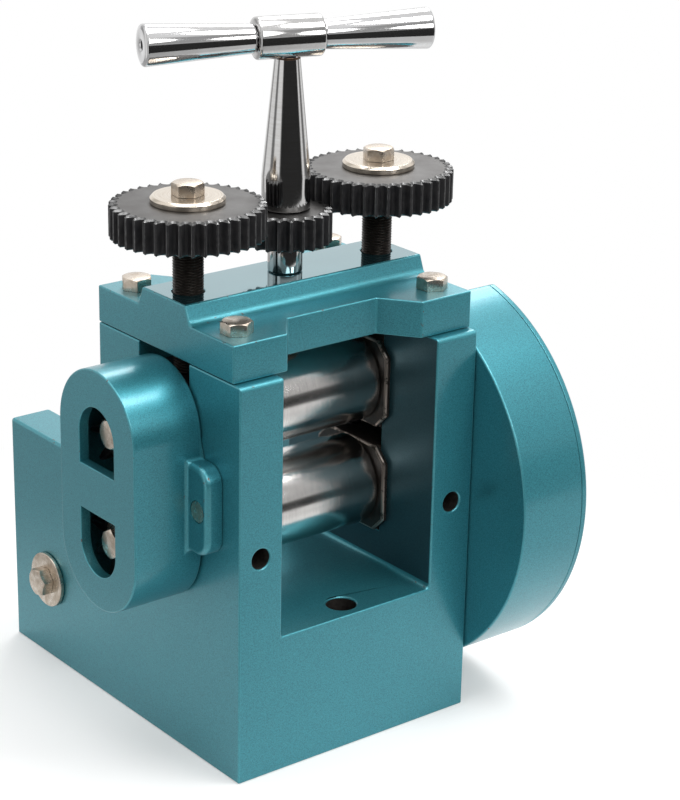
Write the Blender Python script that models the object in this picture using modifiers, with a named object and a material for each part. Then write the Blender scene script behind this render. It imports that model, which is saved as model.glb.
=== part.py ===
"""Two-roll rolling mill for a jeweller's or bookbinder's bench, with a geared screw-down and a T-handle.

Units are metres, +Z is up. The origin is on the underside of the frame, midway between its sides, in the
vertical plane that holds both roll axes. The rolls lie along X and the work goes through along Y.
"""

from math import acos, cos, pi, radians, sin

import bmesh
import bpy
from mathutils import Matrix, Vector

# ---------------------------------------------------------------- driving dimensions

FIT = 0.0003              # gap between two pieces that seat on or in each other
RUNNING = 0.0004          # gap between a shaft and its bush
LAP = 0.001               # how far joined shapes reach into each other, and cuts past a face
THREAD_SPARE = 0.002      # depth of a tapped hole past the end of its bolt

# Frame casting: two slotted cheeks on a bridge, with a leg behind each cheek.
FRAME_WIDTH = 0.130
CHEEK_THICKNESS = 0.0228
FRONT_DEPTH = 0.056       # roll plane to the front face
REAR_DEPTH = 0.051        # roll plane to the back of the cheeks
FLOOR_TOP = 0.0654        # top of the bridge between the cheeks
FLOOR_THICKNESS = 0.020
APRON_THICKNESS = 0.066   # the front of the base, which reaches back past the roll plane
LEG_WIDTH = 0.0215
LEG_PAST_TIE = 0.0322     # tie bolt to the back of the legs
LEG_TOP = 0.1146
GUIDE_HOLE_RADIUS = 0.00475
GUIDE_HOLE_DEPTH = 0.014
GUIDE_HOLE_RISE = 0.0029  # lower roll axis to the guide holes
BENCH_HOLE_RADIUS = 0.0069
BENCH_HOLE_INSET = 0.0115

# Rolls.
ROLL_RADIUS = 0.0215
ROLL_EDGE = 0.0006        # bevel on a roll's ends
ROLL_OPENING = 0.0082     # gap between the rolls at rest
LEAST_OPENING = 0.0003
RISE = 0.0012             # how far the upper roll can still rise
FLOOR_CLEARANCE = 0.0157  # bridge to the underside of the lower roll
HEADROOM = 0.010          # upper roll to the top of the cheeks
JOURNAL_RADIUS = 0.010
SHAFT_RADIUS = 0.008      # journal's end, which carries the roll gear

# Bearing blocks.
BLOCK_WIDTH = 0.0374
BLOCK_SPACE = 0.0092      # between the upper and the lower blocks at rest
FLANGE_OVERHANG = 0.0058
FLANGE_THICKNESS = 0.0025
FLANGE_CHAMFER = 0.007
BUSH_WALL = 0.003
SPRING_RADIUS = 0.0029
SPRING_WIRE = 0.00055
SPRING_TURNS = 6
SPRING_Y = 0.013
POCKET_DEPTH = 0.006

# Roll gears and their cover on the left cheek.
ROLL_GEAR_TEETH = 12
ROLL_GEAR_MESH = 0.0016   # how deep the teeth reach into each other at rest
ROLL_GEAR_WIDTH = 0.0194
ROLL_GEAR_STANDOFF = 0.0023
END_THREAD = 0.016        # depth of the tapped hole in a shaft's end
COVER_DEPTH = 0.0351
COVER_WALL = 0.0019
COVER_PLATE = 0.005
COVER_CLEARANCE = 0.0008
WINDOW_RADIUS = 0.0134
WINDOW_SILL = 0.0151      # roll axis to the flat edge of its window
LUG_THICKNESS = 0.008
LUG_REACH = 0.0145
LUG_RISE = 0.0024         # lower roll axis to the underside of the ears
LUG_HEIGHT = 0.041

# Gear teeth: addendum in modules, gap at the roots, and shares of a tooth's pitch.
ADDENDUM = 0.75
TOOTH_CLEARANCE = 0.00028
TOOTH_FOOT = 0.60
TOOTH_TIP = 0.21
ROLL_TOOTH_FOOT = 0.50
ROLL_TOOTH_TIP = 0.16
ROLL_TOOTH_CLEARANCE = 0.0007

# Cap.
CAP_THICKNESS = 0.0168
RIDGE_HEIGHT = 0.0083
RIDGE_FOOT = 0.0385
RIDGE_TOP = 0.0319
CAP_LOBE = 0.0281         # width of each corner lobe at the front and back edges
RECESS_DEPTH = 0.0165
RECESS_SLANT = 0.0125
CAP_BOLT_INSET = 0.0115    # side of the frame to the cap bolts
CAP_BOLT_Y = 0.0375
CAP_BOLT_REACH = 0.018    # how far the cap bolts go into the cheeks

# Screws and their gears.
SCREW_INSET = 0.013       # side of the frame to the screw's axis
SCREW_RADIUS = 0.0068
SCREW_SEAT_RADIUS = 0.0055
SCREW_GEAR_TEETH = 40
PINION_TEETH = 24
SCREW_GEAR_WIDTH = 0.015
SCREW_GEAR_LIFT = 0.0243  # ridge to the underside of the screw gears
PINION_LIFT = 0.0133      # ridge to the underside of the pinion
GEAR_WASHER_RADIUS = 0.0162
GEAR_WASHER_THICKNESS = 0.003

# T-handle.
SPINDLE_RADIUS = 0.006
NUT_RADIUS = 0.0098
NUT_HEIGHT = 0.0047
COLLAR_RADIUS = 0.0078
POST_RADIUS = 0.0108
POST_CYLINDER = 0.0145
POST_HEIGHT = 0.066
POST_TIP_RADIUS = 0.0057
SLEEVE_RADIUS = 0.0092
SLEEVE_LENGTH = 0.0298
GRIP_NECK_RADIUS = 0.0064
GRIP_END_RADIUS = 0.0091
HANDLE_LENGTH = 0.1300
STUB_RADIUS = 0.0038
HANDLE_YAW = radians(-17.5)

# Reduction drive in its drum on the right cheek.
DRIVE_MODULE = 0.002
DRIVE_GEAR_TEETH = 56
DRIVE_PINION_TEETH = 14
DRIVE_GEAR_WIDTH = 0.016
DRIVE_SHAFT_ANGLE = radians(-12)
DRIVE_SHAFT_RADIUS = 0.007
DRIVE_SEAT_RADIUS = 0.009
DRIVE_GEAR_STANDOFF = 0.0017
DRUM_SHAFT_GAP = 0.0015   # between a shaft and its hole in the drum's floor
DRUM_DEPTH = 0.0382
DRUM_WALL = 0.004
DRUM_COVER = 0.003
DRUM_CLEARANCE = 0.0027
DRUM_FLAT_CLEARANCE = 0.0049   # gear tips to the inside of the flat
DRUM_FLAT_TURN = radians(61)   # the way the flat on the drum's upper rear side faces, from +Y
DRUM_SCREW_TURNS = (14, 112, 167, 222, 277, 332)   # degrees from +Y
DRUM_BOSS_RADIUS = 0.005
DRUM_SCREW_Y = 0.037      # the two screws that hold the drum on its cheek
DRUM_SCREW_Z = 0.034
CRANK_SQUARE = 0.010
CRANK_LENGTH = 0.0172

# Tie bolt behind the bridge.
TIE_SPACE = 0.0068        # rim of the drum to the axis of the tie bolt, along Y
TIE_Z = 0.0412
TIE_RADIUS = 0.006
TIE_WASHER_RADIUS = 0.0134
TIE_WASHER_THICKNESS = 0.002

# Fasteners.
BOLT_RADIUS = 0.004
BOLT_HEAD_RADIUS = 0.0072
BOLT_HEAD_HEIGHT = 0.0053
WASHER_RADIUS = 0.011
WASHER_THICKNESS = 0.0017
CAP_SCREW_RADIUS = 0.003
CAP_SCREW_HEAD_RADIUS = 0.0049
CAP_SCREW_HEAD_HEIGHT = 0.004
LOW_HEAD_HEIGHT = 0.002
SMALL_SCREW_RADIUS = 0.002
SMALL_SCREW_REACH = 0.010
CHEEK_SCREW_REACH = 0.012
TIE_THREAD = 0.015

# ---------------------------------------------------------------- worked-out places

SIDE_X = FRAME_WIDTH / 2
CHEEK_X = SIDE_X - CHEEK_THICKNESS
LOWER_Z = FLOOR_TOP + FLOOR_CLEARANCE + ROLL_RADIUS
ROLL_HALF = CHEEK_X - FIT - FLANGE_THICKNESS - RUNNING
ROLL_CENTRES = 2 * ROLL_RADIUS + ROLL_OPENING
UPPER_Z = LOWER_Z + ROLL_CENTRES
CHEEK_TOP = UPPER_Z + ROLL_RADIUS + HEADROOM
BLOCK_HEIGHT = ROLL_CENTRES - BLOCK_SPACE
SLOT_HALF = BLOCK_WIDTH / 2 + FIT
BENCH_HOLE_Y = BENCH_HOLE_INSET - FRONT_DEPTH
SLOT_FLOOR = LOWER_Z - BLOCK_HEIGHT / 2 - FIT
GUIDE_HOLE_Z = LOWER_Z + GUIDE_HOLE_RISE
BUSH_RADIUS = JOURNAL_RADIUS + RUNNING + BUSH_WALL
SPINDLE_BUSH_RADIUS = SPINDLE_RADIUS + RUNNING + BUSH_WALL
POCKET_RADIUS = SPRING_RADIUS + SPRING_WIRE + FIT

CAP_Z = CHEEK_TOP + FIT
LEDGE_Z = CAP_Z + CAP_THICKNESS
RIDGE_Z = LEDGE_Z + RIDGE_HEIGHT
CAP_HALF_DEPTH = REAR_DEPTH
CAP_BOLT_X = SIDE_X - CAP_BOLT_INSET
SCREW_X = SIDE_X - SCREW_INSET
SCREW_MODULE = 2 * SCREW_X / (SCREW_GEAR_TEETH + PINION_TEETH)
SCREW_GEAR_Z = RIDGE_Z + SCREW_GEAR_LIFT
SCREW_GEAR_TOP = SCREW_GEAR_Z + SCREW_GEAR_WIDTH
PINION_Z = RIDGE_Z + PINION_LIFT
PINION_TOP = PINION_Z + SCREW_GEAR_WIDTH

POST_Z = PINION_TOP + FIT
BAR_Z = POST_Z + POST_HEIGHT + SLEEVE_RADIUS

ROLL_GEAR_TIP = (ROLL_CENTRES + ROLL_GEAR_MESH) / 2
ROLL_GEAR_ROOT = 2 * ROLL_RADIUS + LEAST_OPENING - ROLL_GEAR_TIP - ROLL_TOOTH_CLEARANCE
ROLL_GEAR_X = SIDE_X + ROLL_GEAR_STANDOFF
ROLL_GEAR_END = ROLL_GEAR_X + ROLL_GEAR_WIDTH
COVER_X = SIDE_X + FIT
COVER_END = SIDE_X + COVER_DEPTH
COVER_BORE = ROLL_GEAR_TIP + COVER_CLEARANCE
COVER_RADIUS = COVER_BORE + COVER_WALL
COVER_TOP_Z = UPPER_Z + RISE
LUG_LOW_Z = LOWER_Z + LUG_RISE
LUG_HIGH_Z = LUG_LOW_Z + LUG_HEIGHT
LUG_SCREW_Y = COVER_RADIUS + LUG_REACH / 2
LUG_SCREW_Z = (LUG_LOW_Z + LUG_HIGH_Z) / 2

DRIVE_CENTRES = DRIVE_MODULE * (DRIVE_GEAR_TEETH + DRIVE_PINION_TEETH) / 2
DRIVE_Y = DRIVE_CENTRES * cos(DRIVE_SHAFT_ANGLE)
DRIVE_Z = LOWER_Z + DRIVE_CENTRES * sin(DRIVE_SHAFT_ANGLE)
DRUM_BORE = DRIVE_CENTRES + DRIVE_MODULE * (DRIVE_PINION_TEETH / 2 + ADDENDUM) + DRUM_CLEARANCE
DRUM_RADIUS = DRUM_BORE + DRUM_WALL
DRUM_FLAT = DRIVE_MODULE * (DRIVE_GEAR_TEETH / 2 + ADDENDUM) + DRUM_FLAT_CLEARANCE + DRUM_WALL
TIE_Y = DRUM_RADIUS + TIE_SPACE
LEG_REACH = TIE_Y + LEG_PAST_TIE
DRUM_X = SIDE_X + FIT
DRUM_END = DRUM_X + DRUM_DEPTH
DRUM_COVER_X = DRUM_END - DRUM_COVER
DRIVE_GEAR_X = DRUM_X + DRUM_WALL + LOW_HEAD_HEIGHT + DRIVE_GEAR_STANDOFF
DRIVE_GEAR_END = DRIVE_GEAR_X + DRIVE_GEAR_WIDTH
DRUM_BOSS_RING = DRUM_BORE - DRUM_BOSS_RADIUS + LAP / 2
DRUM_SCREW_PLACES = [(way * DRUM_SCREW_Y, LOWER_Z - way * DRUM_SCREW_Z) for way in (-1, 1)]
SHAFT_BUSH_RADIUS = DRIVE_SHAFT_RADIUS + RUNNING + BUSH_WALL

# ---------------------------------------------------------------- scene helpers


def clear_scene():
    for obj in list(bpy.data.objects):
        bpy.data.objects.remove(obj, do_unlink=True)


def new_collection(name):
    collection = bpy.data.collections.new(name)
    bpy.context.scene.collection.children.link(collection)
    return collection


clear_scene()
PARTS = new_collection("rolling_mill")
CUTTERS = new_collection("cutters")


def make_material(name, colour, roughness, metallic):
    material = bpy.data.materials.new(name)
    material.use_nodes = True
    shader = material.node_tree.nodes["Principled BSDF"]
    shader.inputs["Base Color"].default_value = (*colour, 1.0)
    shader.inputs["Roughness"].default_value = roughness
    shader.inputs["Metallic"].default_value = metallic
    return material


PAINT = make_material("teal_paint", (0.02, 0.30, 0.32), 0.35, 0.5)
BLACK = make_material("black_oxide", (0.03, 0.03, 0.035), 0.45, 0.8)
STEEL = make_material("polished_steel", (0.62, 0.62, 0.63), 0.15, 1.0)
CHROME = make_material("chrome", (0.75, 0.75, 0.76), 0.08, 1.0)
NICKEL = make_material("nickel_plate", (0.60, 0.57, 0.52), 0.28, 1.0)
BRONZE = make_material("bearing_bronze", (0.55, 0.36, 0.16), 0.35, 1.0)

AXIS_TURN = {
    "X": Matrix(((0, 0, 1), (1, 0, 0), (0, 1, 0))),
    "Y": Matrix(((0, 1, 0), (0, 0, 1), (1, 0, 0))),
    "Z": Matrix.Identity(3),
}
FLIP = Matrix.Rotation(pi, 4, "X")


def along(axis, centre=(0, 0, 0)):
    """The place of a piece whose local Z lies along an axis. Along X, its local X and Y are Y and Z."""
    return Matrix.Translation(Vector(centre)) @ AXIS_TURN[axis].to_4x4()


def segments_for(radius):
    return 12 if radius < 0.005 else 16 if radius < 0.0095 else 24 if radius < 0.03 else 56


def object_from(name, mesh, material, place=None):
    obj = bpy.data.objects.new(name, mesh)
    PARTS.objects.link(obj)
    if material:
        mesh.materials.append(material)
    if place:
        obj.matrix_world = place
    return obj


def mesh_from(bm, name):
    mesh = bpy.data.meshes.new(name)
    bm.to_mesh(mesh)
    bm.free()
    return mesh


def box(name, material, low, high):
    bm = bmesh.new()
    bmesh.ops.create_cube(bm, size=1)
    bmesh.ops.scale(bm, vec=[b - a for a, b in zip(low, high)], verts=bm.verts)
    bmesh.ops.translate(bm, vec=[(a + b) / 2 for a, b in zip(low, high)], verts=bm.verts)
    return object_from(name, mesh_from(bm, name), material)


def slab(name, material, loops, low, high, place=None):
    """A flat outline, with holes for its further loops, from low to high along its local Z."""
    curve = bpy.data.curves.new(name, "CURVE")
    curve.dimensions = "2D"
    curve.fill_mode = "BOTH"
    curve.extrude = (high - low) / 2
    for loop in loops:
        spline = curve.splines.new("POLY")
        spline.points.add(len(loop) - 1)
        for point, (u, v) in zip(spline.points, loop):
            point.co = (u, v, 0, 1)
        spline.use_cyclic_u = True
    outline = bpy.data.objects.new(name + "_outline", curve)
    PARTS.objects.link(outline)
    seen = outline.evaluated_get(bpy.context.evaluated_depsgraph_get())
    mesh = bpy.data.meshes.new_from_object(seen)
    bpy.data.objects.remove(outline, do_unlink=True)
    bm = bmesh.new()
    bm.from_mesh(mesh)
    bmesh.ops.remove_doubles(bm, verts=bm.verts, dist=1e-6)
    bmesh.ops.translate(bm, vec=(0, 0, (low + high) / 2), verts=bm.verts)
    bmesh.ops.recalc_face_normals(bm, faces=bm.faces)
    bm.to_mesh(mesh)
    bm.free()
    return object_from(name, mesh, material, place)


def circle(radius, centre=(0, 0), steps=None):
    steps = steps or segments_for(radius)
    turns = [2 * pi * i / steps for i in range(steps)]
    return [(centre[0] + radius * cos(t), centre[1] + radius * sin(t)) for t in turns]


def arc(radius, centre, start, end, steps):
    turns = [radians(start + (end - start) * i / steps) for i in range(steps + 1)]
    return [(centre[0] + radius * cos(t), centre[1] + radius * sin(t)) for t in turns]


def mirrored(outline):
    return [(-u, v) for u, v in reversed(outline)]


def turned(name, material, profile, place=None, closed=False):
    """A turned piece. The profile is (radius, height) down its outer side; closed makes a ring of it."""
    mesh = bpy.data.meshes.new(name)
    count = len(profile)
    edges = [(i, i + 1) for i in range(count - 1)] + ([(count - 1, 0)] if closed else [])
    mesh.from_pydata([(radius, 0, height) for radius, height in profile], edges, [])
    obj = object_from(name, mesh, material, place)
    screw = obj.modifiers.new("turn", "SCREW")
    screw.axis = "Z"
    screw.steps = screw.render_steps = segments_for(max(radius for radius, _ in profile))
    screw.use_merge_vertices = True
    screw.merge_threshold = 1e-5
    screw.use_smooth_shade = True
    return obj


def solid_turned(name, material, profile, place=None):
    """A turned piece without a bore: the profile is closed onto the axis at both ends."""
    return turned(name, material, [(0, profile[0][1]), *profile, (0, profile[-1][1])], place)


def rod(name, material, radius, low, high, place=None):
    return solid_turned(name, material, [(radius, high), (radius, low)], place)


def ring(name, material, outer, inner, low, high, place=None):
    return turned(name, material, [(outer, high), (outer, low), (inner, low), (inner, high)], place, True)


def boolean(target, tool, operation):
    modifier = target.modifiers.new(operation.lower(), "BOOLEAN")
    modifier.operation = operation
    modifier.object = tool
    tool.hide_render = True
    tool.display_type = "WIRE"
    PARTS.objects.unlink(tool)
    CUTTERS.objects.link(tool)


def cylinders(name, places):
    """Separate cylinders in one object: each is (place, radius, low, high) along the place's local Z."""
    bm = bmesh.new()
    for place, radius, low, high in places:
        bmesh.ops.create_cone(
            bm, cap_ends=True, segments=segments_for(radius), radius1=radius, radius2=radius,
            depth=high - low, matrix=place @ Matrix.Translation((0, 0, (low + high) / 2)),
        )
    return object_from(name, mesh_from(bm, name), None)


def drill(target, places):
    boolean(target, cylinders(target.name + "_holes", places), "DIFFERENCE")


def gear_radii(centres, teeth, mate_teeth):
    """Root and tip radius of a gear, from the distance to its mate's axis and the two tooth counts."""
    module = 2 * centres / (teeth + mate_teeth)
    tip = module * (teeth / 2 + ADDENDUM)
    mate_tip = module * (mate_teeth / 2 + ADDENDUM)
    return centres - mate_tip - TOOTH_CLEARANCE, tip


def toothed(teeth, root, tip, foot_share, tip_share, turn):
    """A gear's outline, with a tooth at the angle turn."""
    pitch = 2 * pi / teeth
    tooth = ((root, -foot_share / 2), (tip, -tip_share / 2), (tip, tip_share / 2), (root, foot_share / 2))
    outline = []
    for i in range(teeth):
        for radius, share in tooth:
            angle = turn + pitch * (i + share)
            outline.append((radius * cos(angle), radius * sin(angle)))
    return outline


def hex_bolt(name, place, seat, end):
    """A hexagon bolt along the place's local Z: its head stands on seat and its shank reaches to end."""
    way = 1 if seat > end else -1
    low, high = sorted((end, seat + way * BOLT_HEAD_HEIGHT / 2))
    shank = rod(name, NICKEL, BOLT_RADIUS, low, high, place)
    head_low, head_high = sorted((seat, seat + way * BOLT_HEAD_HEIGHT))
    head = slab(name + "_head", None, [circle(BOLT_HEAD_RADIUS, steps=6)], head_low, head_high, place)
    boolean(shank, head, "UNION")
    return shank


def round_screw(name, place, head_radius, head_height, radius, seat, end):
    """A round-headed screw along the place's local Z, its head on seat, its shank down to end."""
    profile = [
        (head_radius, seat + head_height), (head_radius, seat), (radius, seat), (radius, end)
    ]
    return solid_turned(name, NICKEL, profile, place)


SIDES = (("left", -1), ("right", 1))

# ---------------------------------------------------------------- frame and cap


def frame_casting():
    cheek = [
        (-FRONT_DEPTH, 0), (REAR_DEPTH, 0), (REAR_DEPTH, CHEEK_TOP), (SLOT_HALF, CHEEK_TOP),
        (SLOT_HALF, SLOT_FLOOR), (-SLOT_HALF, SLOT_FLOOR), (-SLOT_HALF, CHEEK_TOP), (-FRONT_DEPTH, CHEEK_TOP),
    ]
    under = FLOOR_TOP - FLOOR_THICKNESS
    bridge = [
        (-FRONT_DEPTH, 0), (APRON_THICKNESS - FRONT_DEPTH, 0), (APRON_THICKNESS - FRONT_DEPTH, under),
        (REAR_DEPTH, under), (REAR_DEPTH, FLOOR_TOP), (-FRONT_DEPTH, FLOOR_TOP),
    ]
    leg_x = SIDE_X - LEG_WIDTH
    frame = slab("frame_casting", PAINT, [bridge], -CHEEK_X - LAP, CHEEK_X + LAP, along("X"))
    for side, sign in SIDES:
        low, high = sorted((sign * CHEEK_X, sign * SIDE_X))
        boolean(frame, slab(side + "_cheek", None, [cheek], low, high, along("X")), "UNION")
        low, high = sorted((sign * leg_x, sign * SIDE_X))
        leg = box(side + "_leg", None, (low, REAR_DEPTH - LAP, 0), (high, LEG_REACH, LEG_TOP))
        boolean(frame, leg, "UNION")
    tapped = BOLT_RADIUS + FIT
    holes = [
        (along("Z", (0, BENCH_HOLE_Y, 0)), BENCH_HOLE_RADIUS, -LAP, FLOOR_TOP + LAP),
        (along("X", (0, DRIVE_Y, DRIVE_Z)), SHAFT_BUSH_RADIUS + FIT, leg_x - LAP, SIDE_X + LAP),
    ]
    for side, sign in SIDES:
        guide = along("Y", (sign * (SIDE_X + CHEEK_X) / 2, 0, GUIDE_HOLE_Z))
        holes.append((guide, GUIDE_HOLE_RADIUS, -FRONT_DEPTH - LAP, GUIDE_HOLE_DEPTH - FRONT_DEPTH))
        low, high = sorted((sign * (leg_x - LAP), sign * (SIDE_X + LAP)))
        holes.append((along("X", (0, TIE_Y, TIE_Z)), tapped, low, high))
        for y in (-CAP_BOLT_Y, CAP_BOLT_Y):
            holes.append((along("Z", (sign * CAP_BOLT_X, y, CHEEK_TOP)), tapped, -CAP_BOLT_REACH - LAP, LAP))
    for y in (-LUG_SCREW_Y, LUG_SCREW_Y):
        place = along("X", (-SIDE_X, y, LUG_SCREW_Z))
        holes.append((place, CAP_SCREW_RADIUS + FIT, -LAP, CHEEK_SCREW_REACH + LAP))
    for y, z in DRUM_SCREW_PLACES:
        holes.append((along("X", (SIDE_X, y, z)), CAP_SCREW_RADIUS + FIT, -CHEEK_SCREW_REACH - LAP, LAP))
    drill(frame, holes)
    return frame


def top_cap():
    corner = [
        (SIDE_X, CAP_HALF_DEPTH), (SIDE_X - CAP_LOBE, CAP_HALF_DEPTH),
        (SIDE_X - CAP_LOBE - RECESS_SLANT, CAP_HALF_DEPTH - RECESS_DEPTH),
    ]
    back = corner + mirrored(corner)
    plan = back + [(u, -v) for u, v in reversed(back)]
    cap = slab("top_cap", PAINT, [plan], CAP_Z, LEDGE_Z)
    ridge = [
        (RIDGE_FOOT / 2, LEDGE_Z - LAP), (RIDGE_FOOT / 2, LEDGE_Z), (RIDGE_TOP / 2, RIDGE_Z),
        (-RIDGE_TOP / 2, RIDGE_Z), (-RIDGE_FOOT / 2, LEDGE_Z), (-RIDGE_FOOT / 2, LEDGE_Z - LAP),
    ]
    boolean(cap, slab("ridge", None, [ridge], -SIDE_X, SIDE_X, along("X")), "UNION")
    low, high = CAP_Z - LAP, RIDGE_Z + LAP
    holes = [(along("Z"), SPINDLE_BUSH_RADIUS + FIT, low, high)]
    for _, sign in SIDES:
        holes.append((along("Z", (sign * SCREW_X, 0, 0)), SCREW_RADIUS + FIT, low, high))
        for y in (-CAP_BOLT_Y, CAP_BOLT_Y):
            holes.append((along("Z", (sign * CAP_BOLT_X, y, 0)), BOLT_RADIUS + FIT, low, high))
    drill(cap, holes)
    return cap


def cap_bolts():
    return [
        hex_bolt(
            f"cap_bolt_{side}_{end}", along("Z", (sign * CAP_BOLT_X, y, 0)), LEDGE_Z + FIT,
            CHEEK_TOP - CAP_BOLT_REACH,
        )
        for side, sign in SIDES for end, y in (("front", -CAP_BOLT_Y), ("rear", CAP_BOLT_Y))
    ]


def tie_bolt_pieces():
    inner = SIDE_X - LEG_WIDTH - FIT
    centre = (0, TIE_Y, TIE_Z)
    tie = rod("rear_tie_rod", STEEL, TIE_RADIUS, -inner, inner, along("X", centre))
    drill(tie, [
        (along("X", centre), BOLT_RADIUS + FIT, *sorted((sign * (inner + FIT), sign * (inner - TIE_THREAD))))
        for _, sign in SIDES
    ])
    pieces = [tie]
    for side, sign in SIDES:
        near, far = SIDE_X + FIT, SIDE_X + FIT + TIE_WASHER_THICKNESS
        low, high = sorted((sign * near, sign * far))
        place = along("X", centre)
        pieces.append(
            ring(f"tie_washer_{side}", NICKEL, TIE_WASHER_RADIUS, BOLT_RADIUS + FIT, low, high, place)
        )
        pieces.append(
            hex_bolt(f"tie_bolt_{side}", place, sign * (far + FIT), sign * (inner - TIE_THREAD + THREAD_SPARE))
        )
    return pieces


# ---------------------------------------------------------------- bearing blocks


def bearing_block(name, sign, z, spring_side):
    """A block that fills its cheek's slot, with an eight-sided flange on the inside of the cheek."""
    half_width, half_height = BLOCK_WIDTH / 2, BLOCK_HEIGHT / 2
    wide, cut = half_width + FLANGE_OVERHANG, FLANGE_CHAMFER
    body = [(half_width, half_height), (-half_width, half_height), (-half_width, -half_height),
            (half_width, -half_height)]
    flange = [
        (wide, half_height - cut), (wide - cut, half_height), (cut - wide, half_height),
        (-wide, half_height - cut), (-wide, cut - half_height), (cut - wide, -half_height),
        (wide - cut, -half_height), (wide, cut - half_height),
    ]
    place = along("X", (0, 0, z))
    wall = CHEEK_X - FIT
    block = slab(name, BLACK, [body], *sorted((sign * (wall - LAP), sign * (SIDE_X - FIT))), place)
    plate = slab(name + "_flange", None, [flange], *sorted((sign * (wall - FLANGE_THICKNESS), sign * wall)), place)
    boolean(block, plate, "UNION")
    face = spring_side * half_height
    pocket = sorted((face - spring_side * POCKET_DEPTH, face + spring_side * FIT))
    holes = [(place, BUSH_RADIUS + FIT, -SIDE_X, SIDE_X)]
    for y in (-SPRING_Y, SPRING_Y):
        holes.append((along("Z", (sign * SCREW_X, y, z)), POCKET_RADIUS, *pocket))
    drill(block, holes)
    return block


def bearing_bush(name, sign, z):
    low, high = sorted((sign * (CHEEK_X - FIT - FLANGE_THICKNESS), sign * (SIDE_X - FIT)))
    return ring(name, BRONZE, BUSH_RADIUS, JOURNAL_RADIUS + RUNNING, low, high, along("X", (0, 0, z)))


def spring(name, x, y):
    """A pressed coil between the pockets of a lower and an upper block."""
    low = LOWER_Z + BLOCK_HEIGHT / 2 - POCKET_DEPTH + FIT + SPRING_WIRE
    high = UPPER_Z - BLOCK_HEIGHT / 2 + POCKET_DEPTH - FIT - SPRING_WIRE
    steps = 6 * SPRING_TURNS
    curve = bpy.data.curves.new(name, "CURVE")
    curve.dimensions = "3D"
    curve.bevel_depth = SPRING_WIRE
    curve.bevel_resolution = 1
    curve.use_fill_caps = True
    curve.materials.append(BLACK)
    spline = curve.splines.new("POLY")
    spline.points.add(steps)
    for i, point in enumerate(spline.points):
        turn = 2 * pi * SPRING_TURNS * i / steps
        z = low + (high - low) * i / steps
        point.co = (SPRING_RADIUS * cos(turn), SPRING_RADIUS * sin(turn), z, 1)
    obj = bpy.data.objects.new(name, curve)
    obj.location = (x, y, 0)
    PARTS.objects.link(obj)
    return obj


def lower_blocks():
    pieces = []
    for side, sign in SIDES:
        pieces.append(bearing_block(f"lower_block_{side}", sign, LOWER_Z, 1))
        pieces.append(bearing_bush(f"lower_bush_{side}", sign, LOWER_Z))
        for end, y in (("front", -SPRING_Y), ("rear", SPRING_Y)):
            pieces.append(spring(f"lift_spring_{side}_{end}", sign * SCREW_X, y))
    return pieces


def upper_blocks():
    pieces = []
    for side, sign in SIDES:
        pieces.append(bearing_block(f"upper_block_{side}", sign, UPPER_Z, -1))
        pieces.append(bearing_bush(f"upper_bush_{side}", sign, UPPER_Z))
    return pieces


# ---------------------------------------------------------------- rolls and their gears


def roll(name, z, drive_end):
    """A roll with its journals, turned in one piece. The gear's seat is at the left end."""
    face = ROLL_RADIUS - ROLL_EDGE
    profile = [
        *drive_end,
        (JOURNAL_RADIUS, ROLL_HALF), (face, ROLL_HALF), (ROLL_RADIUS, ROLL_HALF - ROLL_EDGE),
        (ROLL_RADIUS, ROLL_EDGE - ROLL_HALF), (face, -ROLL_HALF), (JOURNAL_RADIUS, -ROLL_HALF),
        (JOURNAL_RADIUS, FIT - ROLL_GEAR_X), (SHAFT_RADIUS, FIT - ROLL_GEAR_X),
        (SHAFT_RADIUS, FIT - ROLL_GEAR_END),
    ]
    return solid_turned(name, STEEL, profile, along("X", (0, 0, z)))


def roll_gear_pieces(name, z, turn):
    """A long-toothed roll gear with its washer and bolt, on the left end of a roll."""
    place = along("X", (0, 0, z))
    teeth = toothed(ROLL_GEAR_TEETH, ROLL_GEAR_ROOT, ROLL_GEAR_TIP, ROLL_TOOTH_FOOT, ROLL_TOOTH_TIP, turn)
    seat = -ROLL_GEAR_END - 2 * FIT - WASHER_THICKNESS
    return [
        slab(f"{name}_gear", BLACK, [teeth, circle(SHAFT_RADIUS + FIT)], -ROLL_GEAR_END, -ROLL_GEAR_X, place),
        ring(f"{name}_gear_washer", NICKEL, WASHER_RADIUS, BOLT_RADIUS + FIT, seat + FIT,
             seat + FIT + WASHER_THICKNESS, place),
        hex_bolt(f"{name}_gear_bolt", place, seat, END_THREAD - THREAD_SPARE - ROLL_GEAR_END),
    ]


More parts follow.
